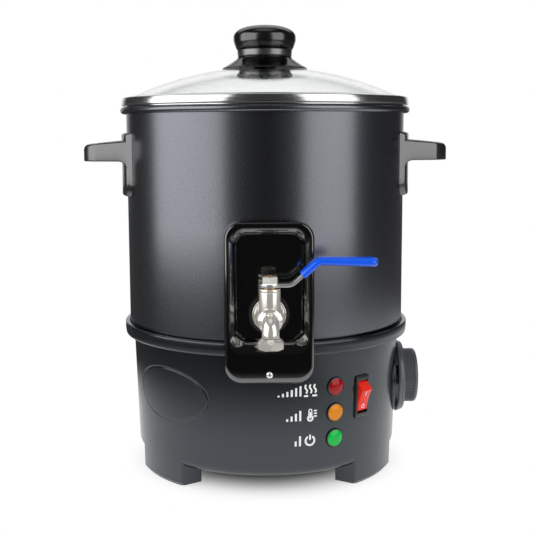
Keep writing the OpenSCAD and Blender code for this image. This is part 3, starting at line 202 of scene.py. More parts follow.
BOX_TILT = math.radians(9)
BOX_AWAY, BOX_TALL = 1.1, 1.2           # metres
BOX_CENTRE = Vector((0, 0, 0.45))       # metres


def softbox(name, azimuth, width, watts):
    """Tall lamp that faces the object from beside the camera, which is at azimuth 0."""
    turn = math.radians(azimuth)
    way = Vector((math.sin(turn) * math.cos(BOX_TILT), -math.cos(turn) * math.cos(BOX_TILT),
                  math.sin(BOX_TILT)))
    lamp = bpy.data.lights.new(name, "AREA")
    lamp.shape = "RECTANGLE"
    lamp.size = width
    lamp.size_y = BOX_TALL
    lamp.energy = watts
    made = into_scene(name, lamp)
    made.location = BOX_CENTRE + way * BOX_AWAY
    made.rotation_euler = (-way).to_track_quat("-Z", "Y").to_euler()
    made.visible_camera = False


studio_world()
studio_floor()
softbox("left_softbox", -65.0, 1.48, 10.6)
softbox("right_softbox", 49.5, 0.91, 5.4)

# ------------------------ materials


def finish(name, colour, rough, metal=0.0, grain=0.5, depth=0.01, shade=0.05,
           vary=0.04, stretch=(1, 1, 1), cloud=35, edge=0, **sockets):
    """Surface with a fine grain and a slow change of tone; sizes in millimetres.

    grain is the width of the texture and depth its height; shade is how far the
    tone drifts over patches as wide as cloud, and vary how far the gloss does;
    edge is the radius to which sharp edges look rounded."""
    material = bpy.data.materials.new(name)
    material.use_nodes = True
    tree = material.node_tree
    shader = tree.nodes["Principled BSDF"]
    place = add(tree, "ShaderNodeTexCoord").outputs["Object"]
    along = add(tree, "ShaderNodeMapping", {0: place, "Scale": stretch}).outputs[0]
    fine = add(tree, "ShaderNodeTexNoise", {0: along, "Scale": 1 / (grain * MM),
               "Detail": 3.0, "Roughness": 0.6}).outputs[0]
    slow = add(tree, "ShaderNodeTexNoise", {0: place, "Scale": 1 / (cloud * MM),
               "Detail": 2.0, "Roughness": 0.5}).outputs[0]
    base = linear(colour)
    tone = add(tree, "ShaderNodeMix", {"Factor": slow}, data_type="RGBA")
    tone.inputs[6].default_value = [c * (1 - shade) for c in base[:3]] + [1]
    tone.inputs[7].default_value = [min(1, c * (1 + shade)) for c in base[:3]] + [1]
    tree.links.new(tone.outputs[2], shader.inputs["Base Color"])
    gloss = blend(tree, fine, 0.25, 0.75, max(0.02, rough - vary), rough + vary, "LINEAR")
    tree.links.new(gloss, shader.inputs["Roughness"])
    bump = add(tree, "ShaderNodeBump", {"Height": fine, "Distance": depth * MM,
               "Strength": 1.0})
    if edge:
        rounded = add(tree, "ShaderNodeBevel", {"Radius": edge * MM}, samples=6)
        tree.links.new(rounded.outputs[0], bump.inputs["Normal"])
    tree.links.new(bump.outputs[0], shader.inputs["Normal"])
    shader.inputs["Metallic"].default_value = metal
    for key, value in sockets.items():
        shader.inputs[key.replace("_", " ")].default_value = value
    return material


# Fluoropolymer coating sprayed on aluminium: satin, faintly pebbled, cool charcoal
coating = finish("charcoal_nonstick_coating", "#7e8086", 0.28, 1.0, grain=0.5,
                 depth=0.002, shade=0.04, cloud=60)
# Spark-eroded mould texture on polypropylene: fine pebble with a soft, cool sheen
moulded = finish("charcoal_textured_polypropylene", "#121417", 0.18, grain=0.6,
                 depth=0.004, shade=0.05, cloud=50, edge=1.5, Specular_IOR_Level=1.0,
                 Specular_Tint=(0.84, 0.92, 1.0, 1.0))
# Phenolic moulding: deep black, polished mould, slight orange peel
bakelite = finish("black_phenolic_moulding", "#030304", 0.08, grain=4, depth=0.003,
                  shade=0.2, vary=0.02, IOR=1.8, Specular_IOR_Level=1.0)
# The same moulding on the lid's skirt, a little duller from handling
skirt_resin = finish("handled_phenolic_skirt", "#040405", 0.14, grain=4, depth=0.002,
                     shade=0.2, vary=0.02)
# The knob's phenolic, tumbled after moulding: its gloss is softer
knob_resin = finish("tumbled_phenolic_knob", "#0a0a0c", 0.2, grain=3, depth=0.0004,
                    shade=0.2, vary=0.01, IOR=1.6, Specular_IOR_Level=1.0)
# The same resin as it leaves a satin mould, on the handles
handle_resin = finish("satin_phenolic_handle", "#161618", 0.24, grain=1, depth=0.0004,
                      shade=0.1, vary=0.01, IOR=1.8, Specular_IOR_Level=1.0)
# The same resin with a rubbed satin band
collar_plastic = finish("satin_phenolic_collar", "#1c1c1f", 0.3, grain=0.5, depth=0.02,
                        stretch=(1, 1, 0.05), IOR=2.0, Specular_IOR_Level=1.0)
# Moulded ABS of the small controls: satin black
abs_black = finish("satin_black_abs", "#1b1c1e", 0.34, grain=0.4, depth=0.002,
                   Specular_IOR_Level=1.0)
# The thermostat knob's ABS, spark-eroded: greyer than the small parts
dial_abs = finish("textured_abs_dial", "#4c4f53", 0.33, grain=0.4, depth=0.002,
                  Specular_IOR_Level=1.0, Specular_Tint=(0.9, 0.95, 1.0, 1.0))
# Bright nickel over polished brass: slightly warm. It and the ground steel are partly
# metallic, because the diffuse share keeps them bright under the studio's dark front
nickel = finish("bright_nickel_plate", "#fffaf0", 0.13, 0.7, grain=3, depth=0.004,
                shade=0.02, vary=0.03, cloud=12)
# Stainless strip, ground along its length
steel = finish("ground_stainless_steel", "#f2f3f4", 0.16, 0.82, grain=0.3, depth=0.003,
               stretch=(0.1, 1, 1), vary=0.08)
# Spun stainless ring, buffed round its circumference
spun_steel = finish("buffed_stainless_ring", "#e4e5e6", 0.18, 1.0, grain=0.25,
                    depth=0.001, stretch=(0.06, 0.06, 1), vary=0.04)
# Turned free-cutting brass with fine lathe lines
brass = finish("turned_brass", "#b98d45", 0.25, 1.0, grain=0.2, depth=0.003,
               stretch=(0.1, 0.1, 1))
# Dipped vinyl: thick, glossy, softly uneven
vinyl = finish("dipped_blue_vinyl", "#0058ea", 0.26, grain=5, depth=0.03, shade=0.08,
               cloud=10, Specular_IOR_Level=0.4, Coat_Weight=0.5, Coat_Roughness=0.1)
# Natural rubber of pads and washers: matte
rubber = finish("black_rubber", "#1b1b1b", 0.75, grain=0.5, depth=0.02)
# Silicone of the washer under the glass: pale and soft
pale_rubber = finish("pale_silicone_washer", "#cfd4cd", 0.5, grain=0.6, depth=0.01,
                     Subsurface_Weight=0.1)
# Vulcanised fibre of the tank's inner washer: brick red
fibre = finish("red_vulcanised_fibre", "#8d3022", 0.6, grain=0.3, depth=0.02)
# PTFE of the ball's seats and the packing: waxy white
ptfe = finish("white_ptfe", "#ecece8", 0.35, grain=0.4, depth=0.004)
# Die-cast heating plate and its reflector: dull and slightly rough
cast_aluminium = finish("die_cast_aluminium", "#b4b6b8", 0.4, 1.0, grain=0.7, depth=0.03)
# The heater's steel sheath, oxidised: brown grey in patches
sheath = finish("oxidised_heater_sheath", "#5d5a58", 0.45, 0.9, grain=0.4, depth=0.01,
                shade=0.2, cloud=15)
# The thermostat's copper bulb and its tube
copper = finish("drawn_copper", "#b06a42", 0.25, 1.0, grain=0.3, depth=0.004)
# Pressed steatite of the cut-out and the terminal block: cream, dry
ceramic = finish("cream_steatite", "#d8d2c2", 0.55, grain=0.4, depth=0.01)
# Screen-printed legend ink, slightly raised and matte
ink = finish("white_screen_ink", "#fafaf8", 0.55, grain=0.3, depth=0.01, shade=0.03)
# The rocker's translucent polycarbonate
red_rocker = finish("red_translucent_rocker", "#ff2c1c", 0.22, grain=2, depth=0.006,
                    shade=0.12, vary=0.02, cloud=6, Transmission_Weight=0.05, IOR=1.58,
                    Specular_IOR_Level=0.35)
# Soda-lime glass of the lid: clear with a faint green cast
glass = finish("tempered_lid_glass", "#fcfefd", 0.03, grain=30, depth=0.002, shade=0.01,
               vary=0.01, Transmission_Weight=1.0, IOR=1.45)


def lens_plastic(name, colour, clearness):
    """Coloured polycarbonate of a lamp's lens. Its tone is mottled in small patches as painted sparkle of the
    facets inside the lens.
    """
    return finish(name, colour, 0.1, grain=1.2, depth=0.01, shade=0.25, vary=0.02, cloud=2.5,
                  Specular_IOR_Level=0.22, Transmission_Weight=clearness, IOR=1.65)


red_lens = lens_plastic("red_polycarbonate_lens", "#ac000e", 0.2)
amber_lens = lens_plastic("amber_polycarbonate_lens", "#ff9206", 0.15)
green_lens = lens_plastic("green_polycarbonate_lens", "#04cc50", 0.15)

SLOTS = {
    "pot_coating": coating, "steel": steel, "polished_steel": spun_steel,
    "glass": glass, "bakelite": bakelite, "satin_collar": collar_plastic,
    "base_plastic": moulded, "knob_plastic": abs_black, "black_rubber": rubber,
    "nickel": nickel, "brass": brass, "red_fibre": fibre, "ptfe": ptfe,
    "blue_vinyl": vinyl, "aluminium": cast_aluminium, "element_steel": sheath,
    "copper": copper, "ceramic": ceramic, "red_lens": red_lens,
    "amber_lens": amber_lens, "green_lens": green_lens, "red_rocker": red_rocker,
    "white_rubber": pale_rubber,
}
slot_of = {s["node"]: s["material_slot"] for s in frame["record"]["subparts"]}
for name, node in nodes.items():
    node.data.materials.clear()
    node.data.materials.append(SLOTS[slot_of[name]])

# ------------------------ places

# Sizes of the CAD model that the pieces follow; the joints give the turning axes
joint_at = {joint["name"]: [round(p / MM, 3) for p in joint["pos_m"]]
            for joint in frame["joints"] if joint.get("pos_m")}
POT_LOW, POT_R, POT_WALL, POT_FLOOR = 114, 112.0, 2, 3
BASE_R, BASE_TOP = 108.8, 108.7         # the base's wall ends at the band round it
DRAFT = math.radians(1.9)
VALVE_Z = 141.2
STEM_OUT = -joint_at["lever_turn"][1]   # lever's axis, from the pot's axis
SPOUT_OUT = 156
LEVER_Z = 165.4                         # middle of the lever's strip at its stem
DIAL_Z = joint_at["thermostat_turn"][2]
SWITCH_ANGLE, SWITCH_Z = 41.3, 70.5


def at(x, y, z):
    """Matrix that moves by millimetres, in metres."""
    return Matrix.Translation((x * MM, y * MM, z * MM))


def quarter(axis, turns=1):
    """Matrix that turns by quarters."""
    return Matrix.Rotation(turns * math.pi / 2, 4, axis)


def base_radius(z):
    """Radius of the drafted base wall at height z."""
    return BASE_R - (BASE_TOP - z) * math.tan(DRAFT)


def on_wall(angle, z):
    """Matrix to a place on the base wall: x right, y up, z outwards."""
    return (Matrix.Rotation(math.radians(angle), 4, "Z") @ at(0, -base_radius(z), z)
            @ Matrix.Rotation(math.pi / 2 + DRAFT, 4, "X"))


# A turned piece's height runs outwards: to the front on the valve, to +X on the dial
ON_VALVE = at(0, 0, VALVE_Z) @ quarter("X")
ON_DIAL = at(0, 0, DIAL_Z) @ quarter("Z") @ quarter("X")
ON_STEM = at(0, -STEM_OUT, LEVER_Z)
ON_SWITCH = on_wall(SWITCH_ANGLE, SWITCH_Z)

# ------------------------ outlines


def arc(cx, cy, r, a0, a1, steps=8):
    """Points of an arc from angle a0 to a1, in degrees."""
    turns = [math.radians(a0 + (a1 - a0) * i / steps) for i in range(steps + 1)]
    return [(cx + r * math.cos(t), cy + r * math.sin(t)) for t in turns]


def circle(cx, cy, r):
    """Points of a full circle, each only once."""
    return arc(cx, cy, r, 0, 360, 40)[:-1]


def soften(points, steps=5):
    """Closed outline of (x, y) or (x, y, radius), its corners rounded by the radius."""
    out, count = [], len(points)
    for i, point in enumerate(points):
        here = Vector(point[:2])
        r = point[2] if len(point) > 2 else 0
        if r <= 0:
            out.append(tuple(here))
            continue
        before = (Vector(points[i - 1][:2]) - here).normalized()
        after = (Vector(points[(i + 1) % count][:2]) - here).normalized()
        half = before.angle(after) / 2
        reach = r / math.tan(half)
        centre = here + (before + after).normalized() * (r / math.sin(half))
        start, end = here + before * reach - centre, here + after * reach - centre
        for k in range(steps + 1):
            way = start.slerp(end, k / steps)
            out.append(tuple(centre + way.normalized() * r))
    return out


def divide(outline, parts):
    """Closed outline whose side i is cut into parts[i] equal lengths."""
    out = []
    for a, b, count in zip(outline, outline[1:] + outline[:1], parts):
        out += [(a[0] + (b[0] - a[0]) * k / count, a[1] + (b[1] - a[1]) * k / count)
                for k in range(count)]
    return out


# ------------------------ mesh makers


def skin(data, rows, ring):
    """Faces between neighbouring rows of corners; a ring's last row meets its first."""
    for low, high in zip(rows, rows[1:] + (rows[:1] if ring else [])):
        for k in range(len(low)):
            n = (k + 1) % len(low)
            corners = list(dict.fromkeys((low[k], low[n], high[n], high[k])))
            if len(corners) > 2:
                data.faces.new(corners)


def lathe(outline, segments=128):
    """Closed surface turned from a closed outline of (radius, height)."""
    data = bmesh.new()
    turns = [2 * math.pi * k / segments for k in range(segments)]
    rows = []
    for r, z in outline:
        if r < 1e-4:
            rows.append([data.verts.new((0, 0, z))] * segments)
        else:
            rows.append([data.verts.new((r * math.cos(t), r * math.sin(t), z)) for t in turns])
    skin(data, rows, ring=True)
    bmesh.ops.recalc_face_normals(data, faces=data.faces)
    return data


def loft(loops, ring=False):
    """Skin over loops of equal counts: capped at its ends, or closed to a ring."""
    data = bmesh.new()
    rows = [[data.verts.new(p) for p in loop] for loop in loops]
    skin(data, rows, ring)
    if not ring:
        data.faces.new(rows[0][::-1])
        data.faces.new(rows[-1])
    bmesh.ops.recalc_face_normals(data, faces=data.faces)
    return data


def prism(outline, low, high):
    """Flat outline raised from height low to high."""
    return loft([[(x, y, z) for x, y in outline] for z in (low, high)])


def merge(data, other):
    """Moves the second bmesh's surface into the first."""
    moved = bpy.data.meshes.new("moved")
    other.to_mesh(moved)
    other.free()
    data.from_mesh(moved)
    bpy.data.meshes.remove(moved)


def piece(name, data, material, body, *stands_for, place=None, sharp=32):
    """Turns a bmesh in millimetres into a finished piece that rides on a body.

    It hides the nodes that it stands for."""
    mesh = bpy.data.meshes.new(name)
    data.to_mesh(mesh)
    data.free()
    mesh.transform(Matrix.Scale(MM, 4))
    if place is not None:
        mesh.transform(place)
    for face in mesh.polygons:
        face.use_smooth = True
    mesh.set_sharp_from_angle(angle=math.radians(sharp))
    mesh.materials.append(material)
    made = into_scene(name, mesh)
    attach(made, body)
    if stands_for:
        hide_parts(*stands_for)


# ------------------------ lid

DOME_C, DOME_R, GLASS_T = 68.8, 254.0, 4.0      # centre's height, radius, thickness
GLASS_RS = (5, 12, 22, 34, 46, 58, 70, 82, 94, 104, 108, 111)
GLASS_R = 111.4
RING_IN = 108.0
RING_REST = 291.3       # height at which the ring lies on the pot's bead


def dome(r, depth=0.0):
    """Height of the glass at radius r, at a depth below its outer face."""
    return DOME_C + math.sqrt((DOME_R - depth) ** 2 - r * r)


glass_outline = [(r, dome(r)) for r in GLASS_RS]
glass_outline += [(GLASS_R, dome(GLASS_R)), (GLASS_R, dome(GLASS_R, GLASS_T) + 0.4)]
glass_outline += [(r, dome(r, GLASS_T)) for r in GLASS_RS[::-1]]
piece("lid_glass_dome", lathe(glass_outline, 192), glass, "lid", "lid_glass")

ring_outline = soften([
    (RING_IN, dome(RING_IN) + 0.8, 0.3), (114.9, 298.0, 0.9), (115.5, 295.6, 4.0),
    (115.8, 293.2, 3.0), (115.6, 292.0, 0.4), (113.2, 291.9, 0.2), (113.2, RING_REST),
    (109.0, RING_REST), (109.0, 286.3, 0.4), (RING_IN, 286.3, 0.4), (RING_IN, 291.4),
    (108.2, 292.6), (112.0, 293.0), (111.7, 297.2)])
piece("lid_steel_ring", lathe(ring_outline, 224), spun_steel, "lid", "lid_ring", sharp=40)

# ------------------------ lid knob

CAP_Z, COLLAR_Z, SKIRT_Z = 336.56, 330.96, 321.06       # the lower ends
PARTING_Z = CAP_Z + 8.6         # a fine line where the cap's halves meet
CAP_R, CAP_RISE = 25.3, 10.7    # of its upper half
CAP_POWER = 2 / 2.4             # makes it a little squarer than an ellipse
CAP_STEPS, SKIRT_STEPS = 21, 10

cap = [(0, CAP_Z), (21.6, CAP_Z), (22.5, CAP_Z + 0.3), (23.6, CAP_Z + 2.6),
       (24.7, CAP_Z + 5.4), (25.25, PARTING_Z - 0.7), (25.1, PARTING_Z - 0.12),
       (25.1, PARTING_Z + 0.12)]
for i in range(1, CAP_STEPS + 1):
    t = math.radians(90 * (i / CAP_STEPS) ** 0.9)
    cap.append((CAP_R * max(math.cos(t), 0) ** CAP_POWER,
                PARTING_Z + 0.25 + CAP_RISE * math.sin(t) ** CAP_POWER))
cap[-1] = (0, cap[-1][1])
piece("knob_gloss_cap", lathe(cap), knob_resin, "lid", "knob_cap", sharp=50)

collar = soften([
    (8, COLLAR_Z + 0.02), (21.2, COLLAR_Z + 0.02, 0.3), (21.75, COLLAR_Z + 0.9, 0.3),
    (22.1, CAP_Z - 0.4, 0.3), (21.6, CAP_Z - 0.02), (8, CAP_Z - 0.02)])
piece("knob_satin_collar", lathe(collar), collar_plastic, "lid", "knob_collar")

skirt = [(3, COLLAR_Z), (21.4, COLLAR_Z), (22.0, COLLAR_Z - 0.4)]
for i in range(SKIRT_STEPS + 1):
    s = i / SKIRT_STEPS
    skirt.append((22.2 + 11.7 * s ** 1.12, COLLAR_Z - 1.2 - 7.6 * s))
skirt += [(34.4, SKIRT_Z + 0.6), (34.3, SKIRT_Z), (32.6, SKIRT_Z), (20.0, COLLAR_Z - 3.4),
          (9, COLLAR_Z - 3.4), (9, dome(9)), (3, dome(3))]
piece("knob_cone_skirt", lathe(skirt), skirt_resin, "lid", "knob_skirt", sharp=40)

# ------------------------ pot

CORNER_R, CORNER_IN = 8, 6      # roundings of the pot's lower corner, outside and inside
BEAD_R = 2.75
CURL_R = 1.1                    # the bead's sheet curls back onto the wall
MID_Z = 200                     # the wall's long faces are parted here
POT_RI = POT_R - POT_WALL

pot = [(0, POT_LOW)] + arc(POT_R - CORNER_R, POT_LOW + CORNER_R, CORNER_R, -90, 0, 8)
pot += [(POT_R, MID_Z), (POT_R, 285.6)]
pot += arc(113.95, 288.25, BEAD_R, -132, 132, 16)
pot += arc(111.1, 289.4, CURL_R, 90, 180, 4) + [(POT_RI, MID_Z)]
pot += arc(POT_RI - CORNER_IN, POT_LOW + POT_FLOOR + CORNER_IN, CORNER_IN, 0, -90, 6)
pot += [(0, POT_LOW + POT_FLOOR)]
piece("pot_shell", lathe(pot, 224), coating, "melter", "pot", sharp=40)

# ------------------------ base

# The base's rim is a rounded band. It lies over the CAD band, which stays below
BAND_R = 115.95
band = soften([(112.5, 118.0), (112.5, 119.1, 0.3), (BAND_R, 118.95, 1.3),
               (BAND_R, 114.2, 9.0), (115.35, 108.95, 1.9), (113.2, 108.75),
               (113.2, 118.0)], 8)
piece("base_rim_roll", lathe(band, 224), moulded, "melter", sharp=40)

# ------------------------ handles

# The right handle; the left one is the same, turned by half a turn
PLATE_HALF, PLATE_LOW, PLATE_HIGH = 41.3, 220.3, 271.2
PLATE_IN, PLATE_OUT = 112.1, 116.1      # radii of its faces
ROOT = math.sqrt(PLATE_OUT ** 2 - PLATE_HALF ** 2)
ARM_X = 104                             # the arms start here, inside the plate
ARM_DRAW = 0.27                         # an arm's outer side draws in so far a millimetre
ARM_WAY = 15.1                          # and has this heading, in degrees
FILLET = 6.9                            # below the arms, where they leave the plate
BAR_LOW = 248.5
# The rounded corner and the grip's middle, on the bar's outer side:
# x, y, heading, width, height of the top, rounding of the outer edge
GRIP_ROWS = (
    (134.0, -33.1, 24, 8.0, 263.1, 1.9), (135.0, -32.5, 36, 8.2, 263.0, 2.0),
    (137.4, -30.8, 40, 8.7, 262.9, 2.1), (139.7, -28.7, 45, 9.2, 262.8, 2.3),
    (141.7, -26.5, 53, 9.8, 262.7, 2.7), (143.2, -24.3, 62, 10.4, 262.6, 3.2),
    (144.1, -22.1, 71, 11.0, 262.5, 3.7), (144.7, -20.0, 81, 11.6, 262.4, 4.2),
    (145, -17.0, 90, 12, 262.4, 4.6))


def plate_loop(r, shrink, f=1.0):
    """Loop of the mounting plate on a cylinder of radius r, scaled by f."""
    mid = (PLATE_LOW + PLATE_HIGH) / 2
    w, low, high = PLATE_HALF - shrink, PLATE_LOW + shrink, PLATE_HIGH - shrink
    corner_steps = 6
    flat = soften([(-w, low, 10), (w, low, 10), (w, high, 3), (-w, high, 3)], corner_steps)
    # Long sides follow the pot's curve in 12 parts, upright ones take 6
    parts = ([1] * corner_steps + [12] + [1] * corner_steps + [6]) * 2
    return [(math.sqrt(r * r - (y * f) ** 2), y * f, mid + (z - mid) * f)
            for y, z in divide(flat, parts)]


def handle_plate():
    """Plate that is curved to the pot, with a rounded outer rim."""
    loops = [plate_loop(PLATE_IN, 0, f) for f in (0.05, 0.5, 1)]
    loops += [plate_loop(PLATE_OUT - 0.9, 1.1), plate_loop(PLATE_OUT - 0.35, 1.4)]
    loops += [plate_loop(PLATE_OUT, 2.0, f) for f in (1, 0.75, 0.5, 0.25, 0.05)]
    return loft(loops)


def bar_loop(x, y, way, width, low, high, nose):
    """Section of the bar at a place on its outer side; way is that side's heading.

    The top is crowned: it falls from a crest towards the outer side, where nose is
    the rounding. Points inside the plate's back are moved out to it."""
    crest = 0.6 * width
    n = (math.sin(math.radians(way)), -math.cos(math.radians(way)))
    loop = []
    for u, z in soften([(-width, low, 0.8), (0, low, 0.9), (0, high - 0.22 * crest, nose),
                        (-crest, high, 5), (-width, high - 0.5, 0.8)], 5):
        px, py = x + n[0] * u, y + n[1] * u
        if math.hypot(px, py) < PLATE_IN:
            px = math.sqrt(PLATE_IN ** 2 - py * py)
        loop.append((px, py, z))
    return loop


def arm_row(x):
    """Values of bar_loop for an arm at x: it tapers outwards, and its top falls."""
    out = ARM_DRAW * (x - ARM_X)
    run = max(0, ROOT + FILLET - x)
    drop = FILLET - math.sqrt(max(0, FILLET ** 2 - run ** 2))
    return (x, out - 41.2, ARM_WAY, 12 - 0.6 * out, BAR_LOW - drop,
            265.6 - 2.4 * max(0, x - 109) / 24, 1.8)


def handle_bar():
    """Bar of the handle: an arm, the corner, the grip and their mirror image."""
    xs = [ARM_X, 106.5, ROOT]
    xs += [ROOT + FILLET * (1 - math.cos(math.radians(a))) for a in range(15, 91, 15)]
    half = [arm_row(x) for x in xs + [119, 124, 129, 133]]
    half += [(x, y, way, width, BAR_LOW, high, nose) for x, y, way, width, high, nose in GRIP_ROWS]
    other = [(x, -y, 180 - way, *rest) for x, y, way, *rest in half[::-1]]
    return loft([bar_loop(*row) for row in half + other])


for side, turn in (("right", 0), ("left", math.pi)):
    handle = handle_plate()
    merge(handle, handle_bar())
    piece("handle_loop_" + side, handle, handle_resin, "melter", "handle_" + side,
          place=Matrix.Rotation(turn, 4, "Z"), sharp=35)

# ------------------------ handle screws

SCREW_TURN = math.degrees(math.asin(35.3 / 118.7))      # from the handle's middle
SCREW_SEAT, SCREW_Z = 109.85, 255.65
# Head inside the pot with a round recess, and a shank that ends inside the bar
SCREW = [(0, -8.5), (1.9, -8.5), (1.9, 0), (4.0, 0), (4.0, 0.7), (3.7, 1.5), (3.0, 2.1),
         (1.9, 2.45), (0.9, 2.55), (0.9, 1.7), (0, 1.7)]

screws = bmesh.new()
for middle in (0, 180):
    for side in (-1, 1):
        screw = lathe(SCREW, 48)
        screw.transform(Matrix.Rotation(math.radians(middle + side * SCREW_TURN), 4, "Z")
                        @ Matrix.Translation((SCREW_SEAT, 0, SCREW_Z)) @ quarter("Y", -1))
        merge(screws, screw)
piece("handle_inner_screws", screws, steel, "melter", "handle_screws", sharp=40)

# ------------------------ faucet panel

PANEL_HALF, PANEL_TOP, PANEL_LOW, PANEL_R = 32.5, 208.9, 90.5, 13.0
FRONT, DISH = 124.0, 9.9        # distance of the front face, depth of the dish in it
DISH_HALF, DISH_TOP, DISH_LOW, DISH_R = 30.1, 206.1, 112.0, 11
BED_LOW = 123.0                 # the dish's lower end rises to here, as a ramp
EDGE, EDGE_DEPTH = 2.2, 5.8     # rounding round the front face
FOOT = 5.5                      # the same at the lower end, which slopes more


def panel_outline(half, top, low, r):
    """Rounded rectangle seen from the front."""
    out = []
    for cx, cz, a0 in ((half - r, top - r, 0), (r - half, top - r, 90),
                       (r - half, low + r, 180), (half - r, low + r, 270)):
        out += arc(cx, cz, r, a0, a0 + 90, 10)
    return out


def panel_back(x, z):
    """Distance of what the panel lies against: pot, tapered band or base wall."""
    if z > 118.9:
        r = POT_R
    elif z > BASE_TOP:
        r = 113.8 + 2 * min(1, (z - BASE_TOP) / 9)
    else:
        r = base_radius(z)
    return math.sqrt(r * r - x * x) - 0.2


def faucet_panel():
    """Shroud from its back edge over the rounded front to the bed of the dish."""
    outline = panel_outline(PANEL_HALF, PANEL_TOP, PANEL_LOW, PANEL_R)
    loops = [[(x, -panel_back(x, z), z) for x, z in outline]]
    for a in range(0, 91, 15):
        inset, back = 1 - math.cos(math.radians(a)), 1 - math.sin(math.radians(a))
        outline = panel_outline(PANEL_HALF - EDGE * inset, PANEL_TOP - EDGE * inset,
                                PANEL_LOW + FOOT * inset, PANEL_R - EDGE * inset)
        loops.append([(x, -(FRONT - EDGE_DEPTH * back), z) for x, z in outline])
    for a in range(0, 91, 9):
        f, sunk = math.sin(math.radians(a)), 1 - math.cos(math.radians(a))
        outline = panel_outline(DISH_HALF - 7.1 * f, DISH_TOP - 8.2 * f,
                                DISH_LOW + (BED_LOW - DISH_LOW) * f, DISH_R - 3 * f)
        loops.append([(x, -(FRONT - DISH * sunk), z) for x, z in outline])
    bed = panel_outline(22.6, 197.5, BED_LOW + 0.4, 7.6)
    loops.append([(x, -(FRONT - DISH), z) for x, z in bed])
    return loft(loops)


piece("panel_dished_shroud", faucet_panel(), bakelite, "melter", "faucet_panel", sharp=50)

# ------------------------ valve body

# Along the valve, heights are distances from the pot's axis
TAIL_R, BULGE_R = 8.0, 10.0
FLANGE_D, NECK_D = 117.1, 121.6         # back of the flange, and its front at the neck

flange = soften([(8.1, FLANGE_D), (12.2, FLANGE_D, 0.4), (12.3, 119.6, 0.6),
                 (10.8, 119.6, 0.25), (10.0, NECK_D, 0.5), (8.1, NECK_D)])
piece("valve_stepped_flange", lathe(flange), nickel, "melter", "valve_flange",
      place=ON_VALVE, sharp=50)


def bonnet():
    """Turned bonnet that stands on the body round the stem, with a groove."""
    outline = soften([
        (0, -6), (7.5, -6), (7.5, 160.2 - VALVE_Z, 0.2), (7.1, 160.5 - VALVE_Z, 0.2),
        (7.5, 160.9 - VALVE_Z, 0.2), (7.5, 163.0 - VALVE_Z, 0.5), (3.1, 21.8),
        (3.1, 21.0), (0, 21.0)])
    data = lathe(outline, 96)
    data.transform(Matrix.Translation((0, 0, STEM_OUT)) @ quarter("X", -1))
    return data


def valve_body():
    """Tail, neck and bulge with a turned front edge, and the bonnet on top."""
    outline = [(0, 97.0), (TAIL_R, 97.0), (TAIL_R, NECK_D), (8.6, NECK_D), (8.6, 131.4)]
    outline += [(math.sqrt(BULGE_R ** 2 - (d - STEM_OUT) ** 2), d)
                for d in (132.2, 133.2, 134.4, 135.7, 137.0, 138.4, 139.8, 141.0)]
    outline += [(8.75, 142.2), (8.55, 143.0), (8.9, 143.5), (9.0, 144.3), (8.7, 145.2),
                (8.2, 145.5), (0, 145.5)]
    data = lathe(outline)
    merge(data, bonnet())
    return data


piece("valve_nickel_body", valve_body(), nickel, "melter", "valve_body", place=ON_VALVE,
      sharp=34)

# ------------------------ spout

SPOUT_R, BEND_R, SPOUT_SIDES = 6.05, 8, 72


def spout():
    """Tube that leaves the body over a flare, bends down and meets the nozzle."""
    rows = [(145.4, VALVE_Z, 0.0, 8.6), (145.75, VALVE_Z, 0.0, 8.5),
            (146.3, VALVE_Z, 0.0, 7.4), (146.7, VALVE_Z, 0.0, 6.35),
            (147.0, VALVE_Z, 0.0, SPOUT_R)]
    for a in range(0, 91, 6):
        t = math.radians(a)
        rows.append((SPOUT_OUT - BEND_R + BEND_R * math.sin(t),
                     133.2 + BEND_R * math.cos(t), t, SPOUT_R))
    rows.append((SPOUT_OUT, 131.9, math.pi / 2, SPOUT_R))
    turns = [2 * math.pi * k / SPOUT_SIDES for k in range(SPOUT_SIDES)]
    return loft([[(r * math.cos(t), -d - r * math.sin(t) * math.sin(a),
                   z + r * math.sin(t) * math.cos(a)) for t in turns]
                 for d, z, a, r in rows])


piece("valve_bent_spout", spout(), nickel, "melter", "valve_spout", sharp=45)

# ------------------------ nuts


def hexagon(af, corner):
    """Hexagon with rounded corners, af across its flats, its sides cut into short ones."""
    r = af / math.sqrt(3)
    outline = soften([(r * math.cos(math.radians(60 * k + 30)),
                       r * math.sin(math.radians(60 * k + 30)), corner) for k in range(6)], 6)
    return divide(outline, [max(1, int(math.dist(a, b) / 0.8))
                            for a, b in zip(outline, outline[1:] + outline[:1])])


def chamfered_nut(af, corner, height, low_cut, high_cut, bore, top):
    """Hexagon on z = 0 with turned chamfers, which meet its sides in curves.

    A cut is a chamfer's steepness, where 0 leaves the edge sharp; bore is the radius
    of the hole below; top holds (height, radius) of turned steps on the upper face."""
    flat = af / 2
    outline = hexagon(af, corner)

    def turned(z, r):
        """Loop on a circle."""
        return [(x * r / math.hypot(x, y), y * r / math.hypot(x, y), z) for x, y in outline]

    def edge(z, drop):
        """Loop along the sides that falls or rises towards the corners."""
        return [(x, y, z + drop * max(0, math.hypot(x, y) - flat)) for x, y in outline]

    loops = [turned(1.5, bore - 0.3), turned(0.4, bore), turned(0, bore + 0.5)]
    if low_cut:
        loops += [turned(0, flat - 0.5), turned(0.12, flat - 0.1), edge(0.25, low_cut)]
    else:
        loops.append(edge(0, 0))
    loops += [edge(height - 0.25, -high_cut), turned(height - 0.12, flat - 0.1),
              turned(height, flat - 0.5)]
    return loft(loops + [turned(z, r) for z, r in top])


